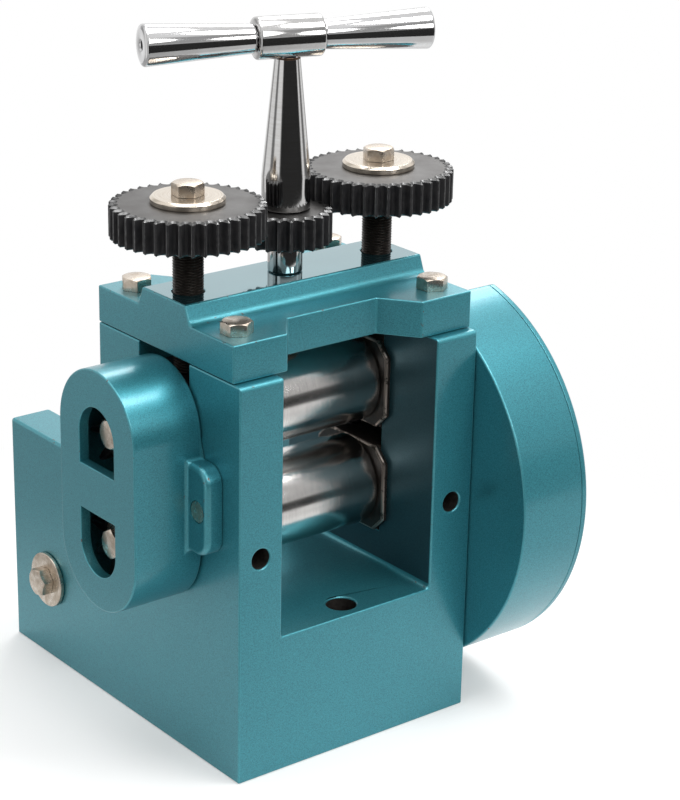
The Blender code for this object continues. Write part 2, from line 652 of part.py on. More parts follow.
def lower_roll_pieces():
    drive_end = [
        (DRIVE_SEAT_RADIUS, DRIVE_GEAR_END - FIT), (DRIVE_SEAT_RADIUS, DRIVE_GEAR_X - FIT),
        (JOURNAL_RADIUS, DRIVE_GEAR_X - FIT),
    ]
    lower = roll("lower_roll", LOWER_Z, drive_end)
    place = along("X", (0, 0, LOWER_Z))
    drill(lower, [
        (place, BOLT_RADIUS + FIT, -ROLL_GEAR_END, END_THREAD - ROLL_GEAR_END),
        (place, BOLT_RADIUS + FIT, DRIVE_GEAR_END - END_THREAD, DRIVE_GEAR_END),
    ])
    root, tip = gear_radii(DRIVE_CENTRES, DRIVE_GEAR_TEETH, DRIVE_PINION_TEETH)
    teeth = toothed(DRIVE_GEAR_TEETH, root, tip, TOOTH_FOOT, TOOTH_TIP, DRIVE_SHAFT_ANGLE)
    bore = circle(DRIVE_SEAT_RADIUS + FIT)
    washer_x = DRIVE_GEAR_END + FIT
    seat = washer_x + WASHER_THICKNESS + FIT
    return [
        lower, *roll_gear_pieces("lower_roll", LOWER_Z, pi / 2),
        slab("drive_gear", BLACK, [teeth, bore], DRIVE_GEAR_X, DRIVE_GEAR_END, place),
        ring("drive_gear_washer", NICKEL, WASHER_RADIUS, BOLT_RADIUS + FIT, washer_x, seat - FIT, place),
        hex_bolt("drive_gear_bolt", place, seat, DRIVE_GEAR_END - END_THREAD + THREAD_SPARE),
    ]


def upper_roll_pieces():
    upper = roll("upper_roll", UPPER_Z, [(JOURNAL_RADIUS, SIDE_X - FIT)])
    place = along("X", (0, 0, UPPER_Z))
    drill(upper, [(place, BOLT_RADIUS + FIT, -ROLL_GEAR_END, END_THREAD - ROLL_GEAR_END)])
    half_tooth = pi / ROLL_GEAR_TEETH
    return [upper, *roll_gear_pieces("upper_roll", UPPER_Z, -pi / 2 + half_tooth)]


def side_cover():
    """The shell over the roll gears, with a window at each gear's bolt and two ears for its screws."""

    def pill(radius):
        return arc(radius, (0, COVER_TOP_Z), 0, 180, 16) + arc(radius, (0, LOWER_Z), 180, 360, 16)

    upper = arc(WINDOW_RADIUS, (0, UPPER_Z), 0, 180, 12)
    upper += [(-WINDOW_RADIUS, UPPER_Z - WINDOW_SILL), (WINDOW_RADIUS, UPPER_Z - WINDOW_SILL)]
    lower = arc(WINDOW_RADIUS, (0, LOWER_Z), 180, 360, 12)
    lower += [(WINDOW_RADIUS, LOWER_Z + WINDOW_SILL), (-WINDOW_RADIUS, LOWER_Z + WINDOW_SILL)]
    cover = slab("side_cover", PAINT, [pill(COVER_RADIUS), upper, lower], -COVER_END, -COVER_X, along("X"))
    hollow = slab("cover_hollow", None, [pill(COVER_BORE)], COVER_PLATE - COVER_END, LAP - COVER_X, along("X"))
    boolean(cover, hollow, "DIFFERENCE")
    inner, outer, corner = COVER_RADIUS - COVER_WALL / 2, COVER_RADIUS + LUG_REACH, LUG_THICKNESS / 2
    ear = [(inner, LUG_LOW_Z)]
    ear += arc(corner, (outer - corner, LUG_LOW_Z + corner), -90, 0, 3)
    ear += arc(corner, (outer - corner, LUG_HIGH_Z - corner), 0, 90, 3)
    ear += [(inner, LUG_HIGH_Z)]
    shank_holes, head_holes = [], []
    for name, outline, y in (("rear_ear", ear, LUG_SCREW_Y), ("front_ear", mirrored(ear), -LUG_SCREW_Y)):
        tool = slab(name, None, [outline], -COVER_X - LUG_THICKNESS, -COVER_X, along("X"))
        boolean(cover, tool, "UNION")
        place = along("X", (-COVER_X - LUG_THICKNESS, y, LUG_SCREW_Z))
        shank_holes.append((place, CAP_SCREW_RADIUS + FIT, -LAP, LUG_THICKNESS + LAP))
        head_holes.append((place, CAP_SCREW_HEAD_RADIUS + FIT, -LAP, CAP_SCREW_HEAD_HEIGHT + FIT))
    drill(cover, shank_holes)
    drill(cover, head_holes)
    return cover


def cover_screws():
    pieces = []
    for end, y in (("front", -LUG_SCREW_Y), ("rear", LUG_SCREW_Y)):
        place = along("X", (-SIDE_X, y, LUG_SCREW_Z)) @ FLIP
        seat = FIT + LUG_THICKNESS - CAP_SCREW_HEAD_HEIGHT
        pieces.append(round_screw(
            f"cover_screw_{end}", place, CAP_SCREW_HEAD_RADIUS, CAP_SCREW_HEAD_HEIGHT - FIT,
            CAP_SCREW_RADIUS, seat, -CHEEK_SCREW_REACH,
        ))
    return pieces


# ---------------------------------------------------------------- screw-down


def screw_pieces(side, sign):
    """A pressing screw with its gear, washer and bolt."""
    place = along("Z", (sign * SCREW_X, 0, 0))
    foot = UPPER_Z + BLOCK_HEIGHT / 2 + FIT
    profile = [
        (SCREW_SEAT_RADIUS, SCREW_GEAR_TOP - FIT), (SCREW_SEAT_RADIUS, SCREW_GEAR_Z - FIT),
        (SCREW_RADIUS, SCREW_GEAR_Z - FIT), (SCREW_RADIUS, foot),
    ]
    screw = solid_turned(f"{side}_screw", BLACK, profile, place)
    drill(screw, [(place, BOLT_RADIUS + FIT, SCREW_GEAR_TOP - END_THREAD, SCREW_GEAR_TOP)])
    root, tip = gear_radii(SCREW_X, SCREW_GEAR_TEETH, PINION_TEETH)
    teeth = toothed(SCREW_GEAR_TEETH, root, tip, TOOTH_FOOT, TOOTH_TIP, pi / SCREW_GEAR_TEETH)
    bore = circle(SCREW_SEAT_RADIUS + FIT)
    low = SCREW_GEAR_TOP + FIT
    high = low + GEAR_WASHER_THICKNESS
    bevel = GEAR_WASHER_THICKNESS / 3
    washer = [
        (GEAR_WASHER_RADIUS - bevel, high), (GEAR_WASHER_RADIUS, high - bevel), (GEAR_WASHER_RADIUS, low),
        (BOLT_RADIUS + FIT, low), (BOLT_RADIUS + FIT, high),
    ]
    return [
        screw,
        slab(f"{side}_screw_gear", BLACK, [teeth, bore], SCREW_GEAR_Z, SCREW_GEAR_TOP, place),
        turned(f"{side}_screw_washer", NICKEL, washer, place, True),
        hex_bolt(f"{side}_screw_bolt", place, high + FIT, SCREW_GEAR_TOP - END_THREAD + THREAD_SPARE),
    ]


def handle_pieces():
    """The T-handle: a tapered post on a spindle, with a brazed sleeve that holds two grips by their stubs."""
    across = Matrix.Translation((0, 0, BAR_Z)) @ Matrix.Rotation(HANDLE_YAW, 4, "Z") @ along("X")
    nut_z = CAP_Z - FIT - NUT_HEIGHT
    profile = [
        (POST_TIP_RADIUS, BAR_Z - STUB_RADIUS - 2 * LAP), (POST_TIP_RADIUS, POST_Z + POST_HEIGHT),
        (POST_RADIUS, POST_Z + POST_CYLINDER), (POST_RADIUS, POST_Z), (SPINDLE_RADIUS, POST_Z),
        (SPINDLE_RADIUS, nut_z),
    ]
    post = solid_turned("tee_post", CHROME, profile)
    sleeve = ring("tee_sleeve", None, SLEEVE_RADIUS, STUB_RADIUS + FIT, -SLEEVE_LENGTH / 2, SLEEVE_LENGTH / 2, across)
    boolean(post, sleeve, "UNION")
    root, tip = gear_radii(SCREW_X, PINION_TEETH, SCREW_GEAR_TEETH)
    teeth = toothed(PINION_TEETH, root, tip, TOOTH_FOOT, TOOTH_TIP, 0)
    bore = circle(SPINDLE_RADIUS + FIT)
    near, far, edge = SLEEVE_LENGTH / 2 + FIT, HANDLE_LENGTH / 2, GRIP_END_RADIUS / 6
    grip = [
        (GRIP_END_RADIUS - edge, far), (GRIP_END_RADIUS, far - edge), (GRIP_NECK_RADIUS, near),
        (STUB_RADIUS, near), (STUB_RADIUS, FIT),
    ]
    return [
        post,
        solid_turned("tee_grip_right", CHROME, grip, across),
        solid_turned("tee_grip_left", CHROME, grip, across @ FLIP),
        slab("pinion", BLACK, [teeth, bore], PINION_Z, PINION_TOP),
        ring("handle_collar", CHROME, COLLAR_RADIUS, SPINDLE_RADIUS + FIT, RIDGE_Z + FIT, PINION_Z - FIT),
        slab("spindle_nut", NICKEL, [circle(NUT_RADIUS, steps=6), bore], nut_z, nut_z + NUT_HEIGHT),
    ]


def spindle_bush():
    return ring("spindle_bush", BRONZE, SPINDLE_BUSH_RADIUS, SPINDLE_RADIUS + RUNNING, CAP_Z, RIDGE_Z)


# ---------------------------------------------------------------- reduction drive


def drum_outline(radius, flat):
    """A circle round the lower roll's axis, cut flat on its upper rear side at a distance from that axis."""
    half = acos(flat / radius)
    start, end = (DRUM_FLAT_TURN + half) * 180 / pi, (DRUM_FLAT_TURN + 2 * pi - half) * 180 / pi
    return arc(radius, (0, LOWER_Z), start, end, 48)


def drum_housing():
    """A pan behind the drive gear, with bosses in its rim for the cover's screws."""
    end = DRUM_COVER_X - FIT
    floor_x = DRUM_X + DRUM_WALL
    journal = circle(JOURNAL_RADIUS + DRUM_SHAFT_GAP, (0, LOWER_Z))
    outside, inside = drum_outline(DRUM_RADIUS, DRUM_FLAT), drum_outline(DRUM_BORE, DRUM_FLAT - DRUM_WALL)
    drum = slab("drum_housing", PAINT, [outside, journal], DRUM_X, end, along("X"))
    boolean(drum, slab("drum_hollow", None, [inside], floor_x, end + FIT, along("X")), "DIFFERENCE")
    bosses = [(along("X", (0, y, z)), DRUM_BOSS_RADIUS, floor_x - LAP, end) for y, z in drum_screw_ring()]
    boolean(drum, cylinders("drum_bosses", bosses), "UNION")
    holes = [(along("X", (0, y, z)), SMALL_SCREW_RADIUS + FIT, end - SMALL_SCREW_REACH - FIT, end + FIT)
             for y, z in drum_screw_ring()]
    holes += [(along("X", (0, y, z)), CAP_SCREW_RADIUS + FIT, DRUM_X - FIT, floor_x + FIT)
              for y, z in DRUM_SCREW_PLACES]
    holes.append((along("X", (0, DRIVE_Y, DRIVE_Z)), DRIVE_SHAFT_RADIUS + DRUM_SHAFT_GAP, DRUM_X - FIT, floor_x + FIT))
    drill(drum, holes)
    return drum


def drum_screw_ring():
    """Where the cover's screws are, as (y, z)."""
    turns = [radians(turn) for turn in DRUM_SCREW_TURNS]
    return [(DRUM_BOSS_RING * cos(t), LOWER_Z + DRUM_BOSS_RING * sin(t)) for t in turns]


def drum_pieces():
    rim = drum_outline(DRUM_RADIUS, DRUM_FLAT)
    holes = [circle(SMALL_SCREW_RADIUS + FIT, centre) for centre in drum_screw_ring()]
    holes.append(circle(SHAFT_BUSH_RADIUS + FIT, (DRIVE_Y, DRIVE_Z)))
    pieces = [drum_housing(), slab("drum_cover", PAINT, [rim, *holes], DRUM_COVER_X, DRUM_END, along("X"))]
    for number, (y, z) in enumerate(DRUM_SCREW_PLACES, 1):
        pieces.append(round_screw(
            f"drum_screw_{number}", along("X", (0, y, z)), CAP_SCREW_HEAD_RADIUS, LOW_HEAD_HEIGHT,
            CAP_SCREW_RADIUS, DRUM_X + DRUM_WALL + FIT, SIDE_X - CHEEK_SCREW_REACH,
        ))
    place = along("X", (0, DRIVE_Y, DRIVE_Z))
    bore = DRIVE_SHAFT_RADIUS + RUNNING
    pieces.append(ring("shaft_bush_inner", BRONZE, SHAFT_BUSH_RADIUS, bore, SIDE_X - LEG_WIDTH, SIDE_X, place))
    face = DRUM_END + FIT
    profile = [
        (SHAFT_BUSH_RADIUS + BUSH_WALL, face + BUSH_WALL), (SHAFT_BUSH_RADIUS + BUSH_WALL, face),
        (SHAFT_BUSH_RADIUS, face), (SHAFT_BUSH_RADIUS, DRUM_COVER_X - BUSH_WALL),
        (bore, DRUM_COVER_X - BUSH_WALL), (bore, face + BUSH_WALL),
    ]
    pieces.append(turned("shaft_bush_outer", BRONZE, profile, place, True))
    return pieces


def crank_shaft_pieces():
    """The shaft that a crank drives, with a square end outside the drum."""
    place = along("X", (0, DRIVE_Y, DRIVE_Z))
    shoulder = DRUM_END + FIT + BUSH_WALL + LAP
    shaft = rod("crank_shaft", STEEL, DRIVE_SHAFT_RADIUS, SIDE_X - LEG_WIDTH, shoulder, place)
    half = CRANK_SQUARE / 2
    square = [(half, half), (-half, half), (-half, -half), (half, -half)]
    end = slab("crank_square", None, [square], shoulder - LAP, shoulder + CRANK_LENGTH, place)
    boolean(shaft, end, "UNION")
    root, tip = gear_radii(DRIVE_CENTRES, DRIVE_PINION_TEETH, DRIVE_GEAR_TEETH)
    half_tooth = pi / DRIVE_PINION_TEETH
    turn = DRIVE_SHAFT_ANGLE + pi + half_tooth
    teeth = toothed(DRIVE_PINION_TEETH, root, tip, TOOTH_FOOT, TOOTH_TIP, turn)
    bore = circle(DRIVE_SHAFT_RADIUS + FIT)
    return [shaft, slab("drive_pinion", BLACK, [teeth, bore], DRIVE_GEAR_X, DRIVE_GEAR_END, place)]


# ---------------------------------------------------------------- assembly


def group(name, location, pieces):
    """Parents a body's pieces to an empty on the body's joint axis."""
    empty = bpy.data.objects.new(name, None)
    empty.location = location
    empty.empty_display_size = 0.02
    PARTS.objects.link(empty)
    for piece in pieces:
        piece.parent = empty
        piece.matrix_parent_inverse = Matrix.Translation(location).inverted()


def main():
    group("root_body", (0, 0, 0), [
        frame_casting(), top_cap(), *cap_bolts(), *tie_bolt_pieces(), *lower_blocks(), side_cover(),
        *cover_screws(), spindle_bush(), *drum_pieces(),
    ])
    group("carriage_body", (0, 0, UPPER_Z), upper_blocks())
    group("upper_roll_body", (0, 0, UPPER_Z), upper_roll_pieces())
    group("lower_roll_body", (0, 0, LOWER_Z), lower_roll_pieces())
    group("crank_shaft_body", (0, DRIVE_Y, DRIVE_Z), crank_shaft_pieces())
    group("handle_body", (0, 0, PINION_Z), handle_pieces())
    for side, sign in SIDES:
        group(f"{side}_screw_body", (sign * SCREW_X, 0, SCREW_GEAR_Z), screw_pieces(side, sign))


main()
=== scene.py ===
# %% [markdown]
# # A two-roll rolling mill for a small bench
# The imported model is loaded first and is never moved. Every piece made below takes its place from it, so the
# looks sit on the mechanism and move with it. Lengths are in metres, +Z is up and the rolls lie along X.

# %% The fixed frame
from functools import partialmethod
from math import acos, cos, hypot, pi, radians, sin, tan

import bmesh
import bpy
from mathutils import Matrix, Vector


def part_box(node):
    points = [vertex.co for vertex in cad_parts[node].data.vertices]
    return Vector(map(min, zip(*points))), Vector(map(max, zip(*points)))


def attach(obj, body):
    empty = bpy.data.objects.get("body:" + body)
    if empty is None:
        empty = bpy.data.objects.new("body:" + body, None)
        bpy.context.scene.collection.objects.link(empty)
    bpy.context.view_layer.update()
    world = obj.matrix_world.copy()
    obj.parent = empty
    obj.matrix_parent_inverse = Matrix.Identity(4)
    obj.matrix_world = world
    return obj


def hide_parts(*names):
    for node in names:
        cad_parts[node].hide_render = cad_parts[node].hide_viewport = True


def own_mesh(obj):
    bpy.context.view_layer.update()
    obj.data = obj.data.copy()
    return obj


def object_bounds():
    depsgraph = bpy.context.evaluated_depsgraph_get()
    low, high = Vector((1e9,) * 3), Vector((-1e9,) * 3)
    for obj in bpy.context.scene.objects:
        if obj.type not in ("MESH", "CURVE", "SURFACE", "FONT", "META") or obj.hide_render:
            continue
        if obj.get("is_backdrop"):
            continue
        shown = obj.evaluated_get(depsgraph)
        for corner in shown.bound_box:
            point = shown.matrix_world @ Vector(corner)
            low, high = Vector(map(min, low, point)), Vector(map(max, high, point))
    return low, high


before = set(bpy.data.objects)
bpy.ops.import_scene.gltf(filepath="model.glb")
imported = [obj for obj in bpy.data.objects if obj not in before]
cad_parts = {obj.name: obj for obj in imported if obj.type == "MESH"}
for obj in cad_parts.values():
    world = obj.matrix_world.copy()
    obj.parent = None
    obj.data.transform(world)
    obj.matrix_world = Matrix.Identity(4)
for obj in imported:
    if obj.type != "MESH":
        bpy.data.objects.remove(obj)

cad_low, cad_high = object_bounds()
print(f"{len(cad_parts)} nodes, {(cad_high - cad_low) * 1000} mm")

# %% [markdown]
# ## Places
# A turned or drilled piece needs its axis, and a box's middle gives it. Reading these from the nodes keeps
# every later number a real size of one piece, and never a guess at where it stands.


# %% Places read from the nodes
GAP = 0.0003  # keeps neighbouring faces apart


def middle(node):
    low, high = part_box(node)
    return (low + high) / 2


def span(node, axis):
    """Where a node begins and ends along an axis."""
    return tuple(corner["XYZ".index(axis)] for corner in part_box(node))


UPPER_Z = middle("upper_bush_left").z
LOWER_Z = middle("lower_bush_left").z
SCREW_X = middle("right_screw").x
DRIVE = middle("crank_shaft")
SIDE_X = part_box("frame_casting")[1].x
CHEEK_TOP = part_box("frame_casting")[1].z
FRONT_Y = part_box("frame_casting")[0].y
CHEEK_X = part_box("upper_roll")[1].x - 0.0225
CAP_Z, RIDGE_Z = span("top_cap", "Z")
SIDES = (("left", -1), ("right", 1))
ENDS = (("front", -1), ("rear", 1))
print(f"rolls at z {LOWER_Z:.4f} and {UPPER_Z:.4f}, screws at x {SCREW_X:.4f}, cheeks from x {CHEEK_X:.4f}")

AXIS_TURN = {
    "X": Matrix(((0, 0, 1), (1, 0, 0), (0, 1, 0))).to_4x4(),
    "Y": Matrix(((0, 1, 0), (0, 0, 1), (1, 0, 0))).to_4x4(),
    "Z": Matrix.Identity(4),
}
FLIP = Matrix.Rotation(pi, 4, "X")


def along(axis, centre=(0, 0, 0)):
    """The place of a piece whose local Z lies along an axis."""
    return Matrix.Translation(Vector(centre)) @ AXIS_TURN[axis]


# %% [markdown]
# ## Node trees
# Geometry trees and shader trees are built alike: add a node, feed its sockets with numbers or with other
# sockets, and go on with what it puts out. One small class does this for both, so a tree reads as a sum.


# %% A tree that is built in writing
class Graph:
    def __init__(self, tree):
        self.tree = tree

    def add(self, kind, *values, **settings):
        node = self.tree.nodes.new(kind)
        for name, value in settings.items():
            setattr(node, name, value)
        for socket, value in zip(node.inputs, values):
            self.feed(socket, value)
        return node

    def feed(self, socket, value):
        if isinstance(value, bpy.types.NodeSocket):
            self.tree.links.new(value, socket)
        elif value is not None:
            socket.default_value = value

    def math(self, operation, a, b=None, c=None):
        return self.add("ShaderNodeMath", a, b, c, operation=operation).outputs[0]

    plus = partialmethod(math, "ADD")
    minus = partialmethod(math, "SUBTRACT")
    times = partialmethod(math, "MULTIPLY")
    over = partialmethod(math, "DIVIDE")
    times_plus = partialmethod(math, "MULTIPLY_ADD")
    larger = partialmethod(math, "MAXIMUM")
    smaller = partialmethod(math, "MINIMUM")
    above = partialmethod(math, "GREATER_THAN")

    def held(self, value, low, high):
        return self.smaller(self.larger(value, low), high)

    def distance(self, x, y):
        return self.math("SQRT", self.plus(self.times(x, x), self.times(y, y)))

    def between(self, value, low, high, out_low=0.0, out_high=1.0, **settings):
        """Maps low..high to out_low..out_high, held at both ends."""
        return self.add("ShaderNodeMapRange", value, low, high, out_low, out_high, **settings).outputs[0]

    def noise(self, vector, scale, detail, roughness=None, turn=None):
        node = self.add("ShaderNodeTexNoise", vector, turn, noise_dimensions="3D" if turn is None else "4D")
        for label, value in (("Scale", scale), ("Detail", detail), ("Roughness", roughness)):
            self.feed(node.inputs[label], value)
        return node.outputs["Fac"]

    def bump(self, height, strength, distance):
        node = self.add("ShaderNodeBump")
        for label, value in (("Strength", strength), ("Distance", distance), ("Height", height)):
            self.feed(node.inputs[label], value)
        return node.outputs["Normal"]


def new_group(name, kind, inputs, outputs):
    """A node group with named sockets: inputs are (name, socket type, default)."""
    tree = bpy.data.node_groups.new(name, kind)
    for label, socket_type, default in inputs:
        socket = tree.interface.new_socket(label, in_out="INPUT", socket_type="NodeSocket" + socket_type)
        if default is not None:
            socket.default_value = default
    for label, socket_type in outputs:
        tree.interface.new_socket(label, in_out="OUTPUT", socket_type="NodeSocket" + socket_type)
    built = Graph(tree)
    return built, built.add("NodeGroupInput").outputs, built.add("NodeGroupOutput").inputs


# %% [markdown]
# ## Effects that several finishes share
# Flakes are what makes a metallic paint: tiny plates that each catch the light in their own way. A cell
# pattern gives every plate one random value. Wear is a patchy mask for edges, where hands and tools rub the
# finish through. Turning marks are fine rings round an axis, as a lathe leaves them. Haze is a slow cloudy
# change, for oil and dust. Each group only puts out masks and normals, and the finishes mix them.

# %% Flakes in a paint
graph, given, result = new_group(
    "paint_flakes", "ShaderNodeTree",
    [("Vector", "Vector", None), ("Flake size", "Float", 0.0004), ("Lift", "Float", 0.1)],
    [("Flakes", "Float"), ("Cloud", "Float"), ("Normal", "Vector")],
)
per_metre = graph.over(1.0, given["Flake size"])
cells = graph.add("ShaderNodeTexVoronoi", given["Vector"], feature="F1")
graph.feed(cells.inputs["Scale"], per_metre)
plates = graph.add("ShaderNodeSeparateColor", cells.outputs["Color"]).outputs[0]
fine = graph.noise(given["Vector"], graph.times(per_metre, 0.45), 2.0)
mixed = graph.times_plus(plates, 0.6, graph.times(fine, 0.4))
graph.feed(result["Flakes"], mixed)
graph.feed(result["Cloud"], graph.noise(given["Vector"], 26.0, 3.0))
graph.feed(result["Normal"], graph.bump(mixed, given["Lift"], 0.0002))
FLAKES = graph.tree

# %% Wear, in patches
graph, given, result = new_group(
    "edge_wear", "ShaderNodeTree",
    [("Vector", "Vector", None), ("Patch size", "Float", 0.004), ("Share", "Float", 0.4)],
    [("Bare", "Float")],
)
patches = graph.noise(given["Vector"], graph.over(1.0, given["Patch size"]), 5.0, 0.65)
limit = graph.between(given["Share"], 0.0, 1.0, 0.72, 0.28)
graph.feed(result["Bare"], graph.between(patches, limit, graph.plus(limit, 0.06)))
WEAR = graph.tree

# %% Turning marks round the local Z axis
graph, given, result = new_group(
    "turning_marks", "ShaderNodeTree",
    [("Vector", "Vector", None), ("Mark width", "Float", 0.0003), ("Depth", "Float", 0.1)],
    [("Marks", "Float"), ("Normal", "Vector")],
)
across, up, height = graph.add("ShaderNodeSeparateXYZ", given["Vector"]).outputs
around = graph.math("ARCTAN2", up, across)
per_metre = graph.over(1.0, given["Mark width"])
spot = graph.add(
    "ShaderNodeCombineXYZ", graph.times(graph.distance(across, up), per_metre), graph.times(height, per_metre),
    graph.times(graph.math("COSINE", around), 0.7),
).outputs[0]
rings = graph.noise(spot, 1.0, 3.0, turn=graph.math("SINE", around))
graph.feed(result["Marks"], rings)
graph.feed(result["Normal"], graph.bump(rings, given["Depth"], 0.0001))
TURNING = graph.tree

# %% Haze of oil and dust
graph, given, result = new_group(
    "haze", "ShaderNodeTree",
    [("Vector", "Vector", None), ("Cloud size", "Float", 0.01), ("Depth", "Float", 0.1)],
    [("Haze", "Float"), ("Normal", "Vector")],
)
clouds = graph.noise(given["Vector"], graph.over(1.0, given["Cloud size"]), 6.0)
graph.feed(result["Haze"], graph.between(clouds, 0.3, 0.7))
graph.feed(result["Normal"], graph.bump(clouds, given["Depth"], 0.0003))
HAZE = graph.tree
print("effects:", ", ".join(group.name for group in bpy.data.node_groups))

# %% [markdown]
# ## Finishes
# A finish is a Principled shader whose colour, roughness and normal come from the groups. Numbers that are
# the same all over a piece are set on the shader itself.


# %% Helpers for finishes
class Finish(Graph):
    def __init__(self, name, roughness=0.4, metallic=0.0, **constants):
        self.material = bpy.data.materials.new(name)
        self.material.use_nodes = True
        super().__init__(self.material.node_tree)
        self.shader = self.tree.nodes["Principled BSDF"]
        self.shader.inputs["Roughness"].default_value = roughness
        self.shader.inputs["Metallic"].default_value = metallic
        for label, value in constants.items():
            self.shader.inputs[label.replace("_", " ")].default_value = value
        self.place = self.add("ShaderNodeTexCoord").outputs["Object"]

    def effect(self, group, **values):
        node = self.add("ShaderNodeGroup", node_tree=group)
        self.feed(node.inputs["Vector"], values.pop("Vector", self.place))
        for label, value in values.items():
            self.feed(node.inputs[label.replace("_", " ")], value)
        return node.outputs

    def axis(self, centre, turn=(0, 0, 0)):
        """Object coordinates counted from a point, turned so that the piece's axis is Z."""
        node = self.add("ShaderNodeMapping", self.place, vector_type="TEXTURE")
        node.inputs["Location"].default_value = centre
        node.inputs["Rotation"].default_value = turn
        return node.outputs[0]

    def blend(self, share, a, b):
        node = self.add("ShaderNodeMix", share, data_type="RGBA")
        for socket, colour in zip([s for s in node.inputs if s.type == "RGBA"], (a, b)):
            self.feed(socket, colour if isinstance(colour, bpy.types.NodeSocket) else (*colour, 1.0))
        return [s for s in node.outputs if s.type == "RGBA"][0]

    def finish(self, colour, roughness, normal):
        for label, value in (("Base Color", colour), ("Roughness", roughness), ("Normal", normal)):
            self.feed(self.shader.inputs[label], value)
        return self.material


# %% [markdown]
# ### Metallic paint
# The castings are sprayed in a teal metallic paint under a clear coat. The base is partly metallic, so it
# darkens where it faces dark things, and the coat adds the white sheen at low angles. On rounded edges a
# second finish is a quarter lighter, a painted highlight, and shows brown bare iron there in patches of wear.
# The walls inside the window get a third one, darker, greyer and nearly without coat: painted shade.

# %% Paint on faces and on edges
PAINT_DARK = (0.026, 0.165, 0.210)
PAINT_LIGHT = (0.055, 0.320, 0.375)
# lighter teal mixed into the edge faces: a painted highlight
TEAL_HIGHLIGHT_TINT = (0.10, 0.42, 0.48)
BARE_IRON = (0.10, 0.065, 0.05)


def paint(name, wear, dark=PAINT_DARK, light=PAINT_LIGHT, coat=0.6):
    look = Finish(name, metallic=0.72, Coat_Weight=coat, Coat_Roughness=0.18, Coat_IOR=1.5)
    flakes = look.effect(FLAKES, Flake_size=0.00028, Lift=0.06)
    colour = look.blend(look.between(flakes["Flakes"], 0.1, 0.9), dark, light)
    colour = look.blend(look.between(flakes["Cloud"], 0.3, 0.8, 0.0, 0.12), colour, dark)
    roughness = look.between(flakes["Cloud"], 0.2, 0.8, 0.36, 0.42)
    if wear:
        bare = look.effect(WEAR, Patch_size=0.004, Share=wear)["Bare"]
        # edge faces: a quarter of the painted highlight tint, with bare iron in patches of wear
        colour = look.blend(bare, look.blend(0.25, colour, TEAL_HIGHLIGHT_TINT), BARE_IRON)
    return look.finish(colour, roughness, flakes["Normal"])


TEAL = paint("teal_paint", 0.0)
TEAL_EDGE = paint("teal_paint_edge", 0.2)
# a dark grey teal with little coat: painted shade for the walls inside the window
TEAL_PAINTED_SHADE = paint("teal_paint_thin", 0.0, (0.022, 0.062, 0.078), (0.038, 0.105, 0.128), coat=0.1)

# %% [markdown]
# ### The cap's ground top
# The ridge of the cap is ground flat before it is sprayed and comes out like a mirror: it shows the collar
# and the screws upside down.

# %% Mirror-flat paint
look = Finish("teal_mirror", roughness=0.08, metallic=0.9, Coat_Weight=1.0, Coat_Roughness=0.03, Coat_IOR=1.7)
haze = look.effect(HAZE, Cloud_size=0.03, Depth=0.02)
colour = look.blend(look.between(haze["Haze"], 0.0, 1.0, 0.0, 0.5), (0.10, 0.30, 0.35), (0.05, 0.22, 0.28))
TEAL_MIRROR = look.finish(colour, look.between(haze["Haze"], 0.0, 1.0, 0.05, 0.09), haze["Normal"])


# %% [markdown]
# ### Steels
# Bare steel is all metal: the finish lies in its colour, its roughness and the marks of its tools. Chrome
# and the rolls are near mirrors. Nickel on bolts and washers is warmer and duller. The gears are blackened,
# with ground flat sides that shine grey, and lighter chamfers and tooth tips that are a painted highlight.


# %% Metal with turning marks
def turned_metal(name, colour, dark, roughness, centre=(0, 0, 0), turn=(0, 0, 0), mark=0.0003, depth=0.08,
                 spread=0.08):
    look = Finish(name, metallic=1.0)
    marks = look.effect(TURNING, Vector=look.axis(centre, turn), Mark_width=mark, Depth=depth)
    haze = look.effect(HAZE, Cloud_size=0.008)["Haze"]
    shade = look.blend(look.between(marks["Marks"], 0.3, 0.7), colour, dark)
    shade = look.blend(look.times(haze, 0.25), shade, dark)
    rough = look.between(look.plus(marks["Marks"], haze), 0.4, 1.6, roughness, roughness + spread)
    return look.finish(shade, rough, marks["Normal"])


QUARTER_X = (0, pi / 2, 0)
ROLL_STEEL = {
    name: turned_metal(f"roll_steel_{name}", (0.82, 0.80, 0.78), (0.68, 0.66, 0.64), 0.16, (0, 0, z), QUARTER_X,
                       0.00035, 0.35, 0.05)
    for name, z in (("upper", UPPER_Z), ("lower", LOWER_Z))
}
POST_CHROME = turned_metal("post_chrome", (0.62, 0.62, 0.62), (0.54, 0.53, 0.52), 0.07, mark=0.0006, depth=0.012,
                           spread=0.05)
MACHINED = turned_metal("machined_steel", (0.55, 0.54, 0.52), (0.42, 0.40, 0.38), 0.24, (0, DRIVE.y, DRIVE.z),
                        QUARTER_X, 0.0004, 0.15)
TIE_STEEL = turned_metal("tie_steel", (0.5, 0.49, 0.47), (0.36, 0.34, 0.32), 0.28,
                         middle("rear_tie_rod"), QUARTER_X, 0.0004, 0.15)
BRONZE = turned_metal("bearing_bronze", (0.62, 0.40, 0.19), (0.42, 0.26, 0.12), 0.3, depth=0.12)


# %% Metal with haze only
def plain_metal(name, colour, dark, roughness, spread=0.1, size=0.006, depth=0.05, metallic=1.0):
    look = Finish(name, metallic=metallic)
    haze = look.effect(HAZE, Cloud_size=size, Depth=depth)
    shade = look.blend(haze["Haze"], colour, dark)
    return look.finish(shade, look.between(haze["Haze"], 0.0, 1.0, roughness, roughness + spread), haze["Normal"])


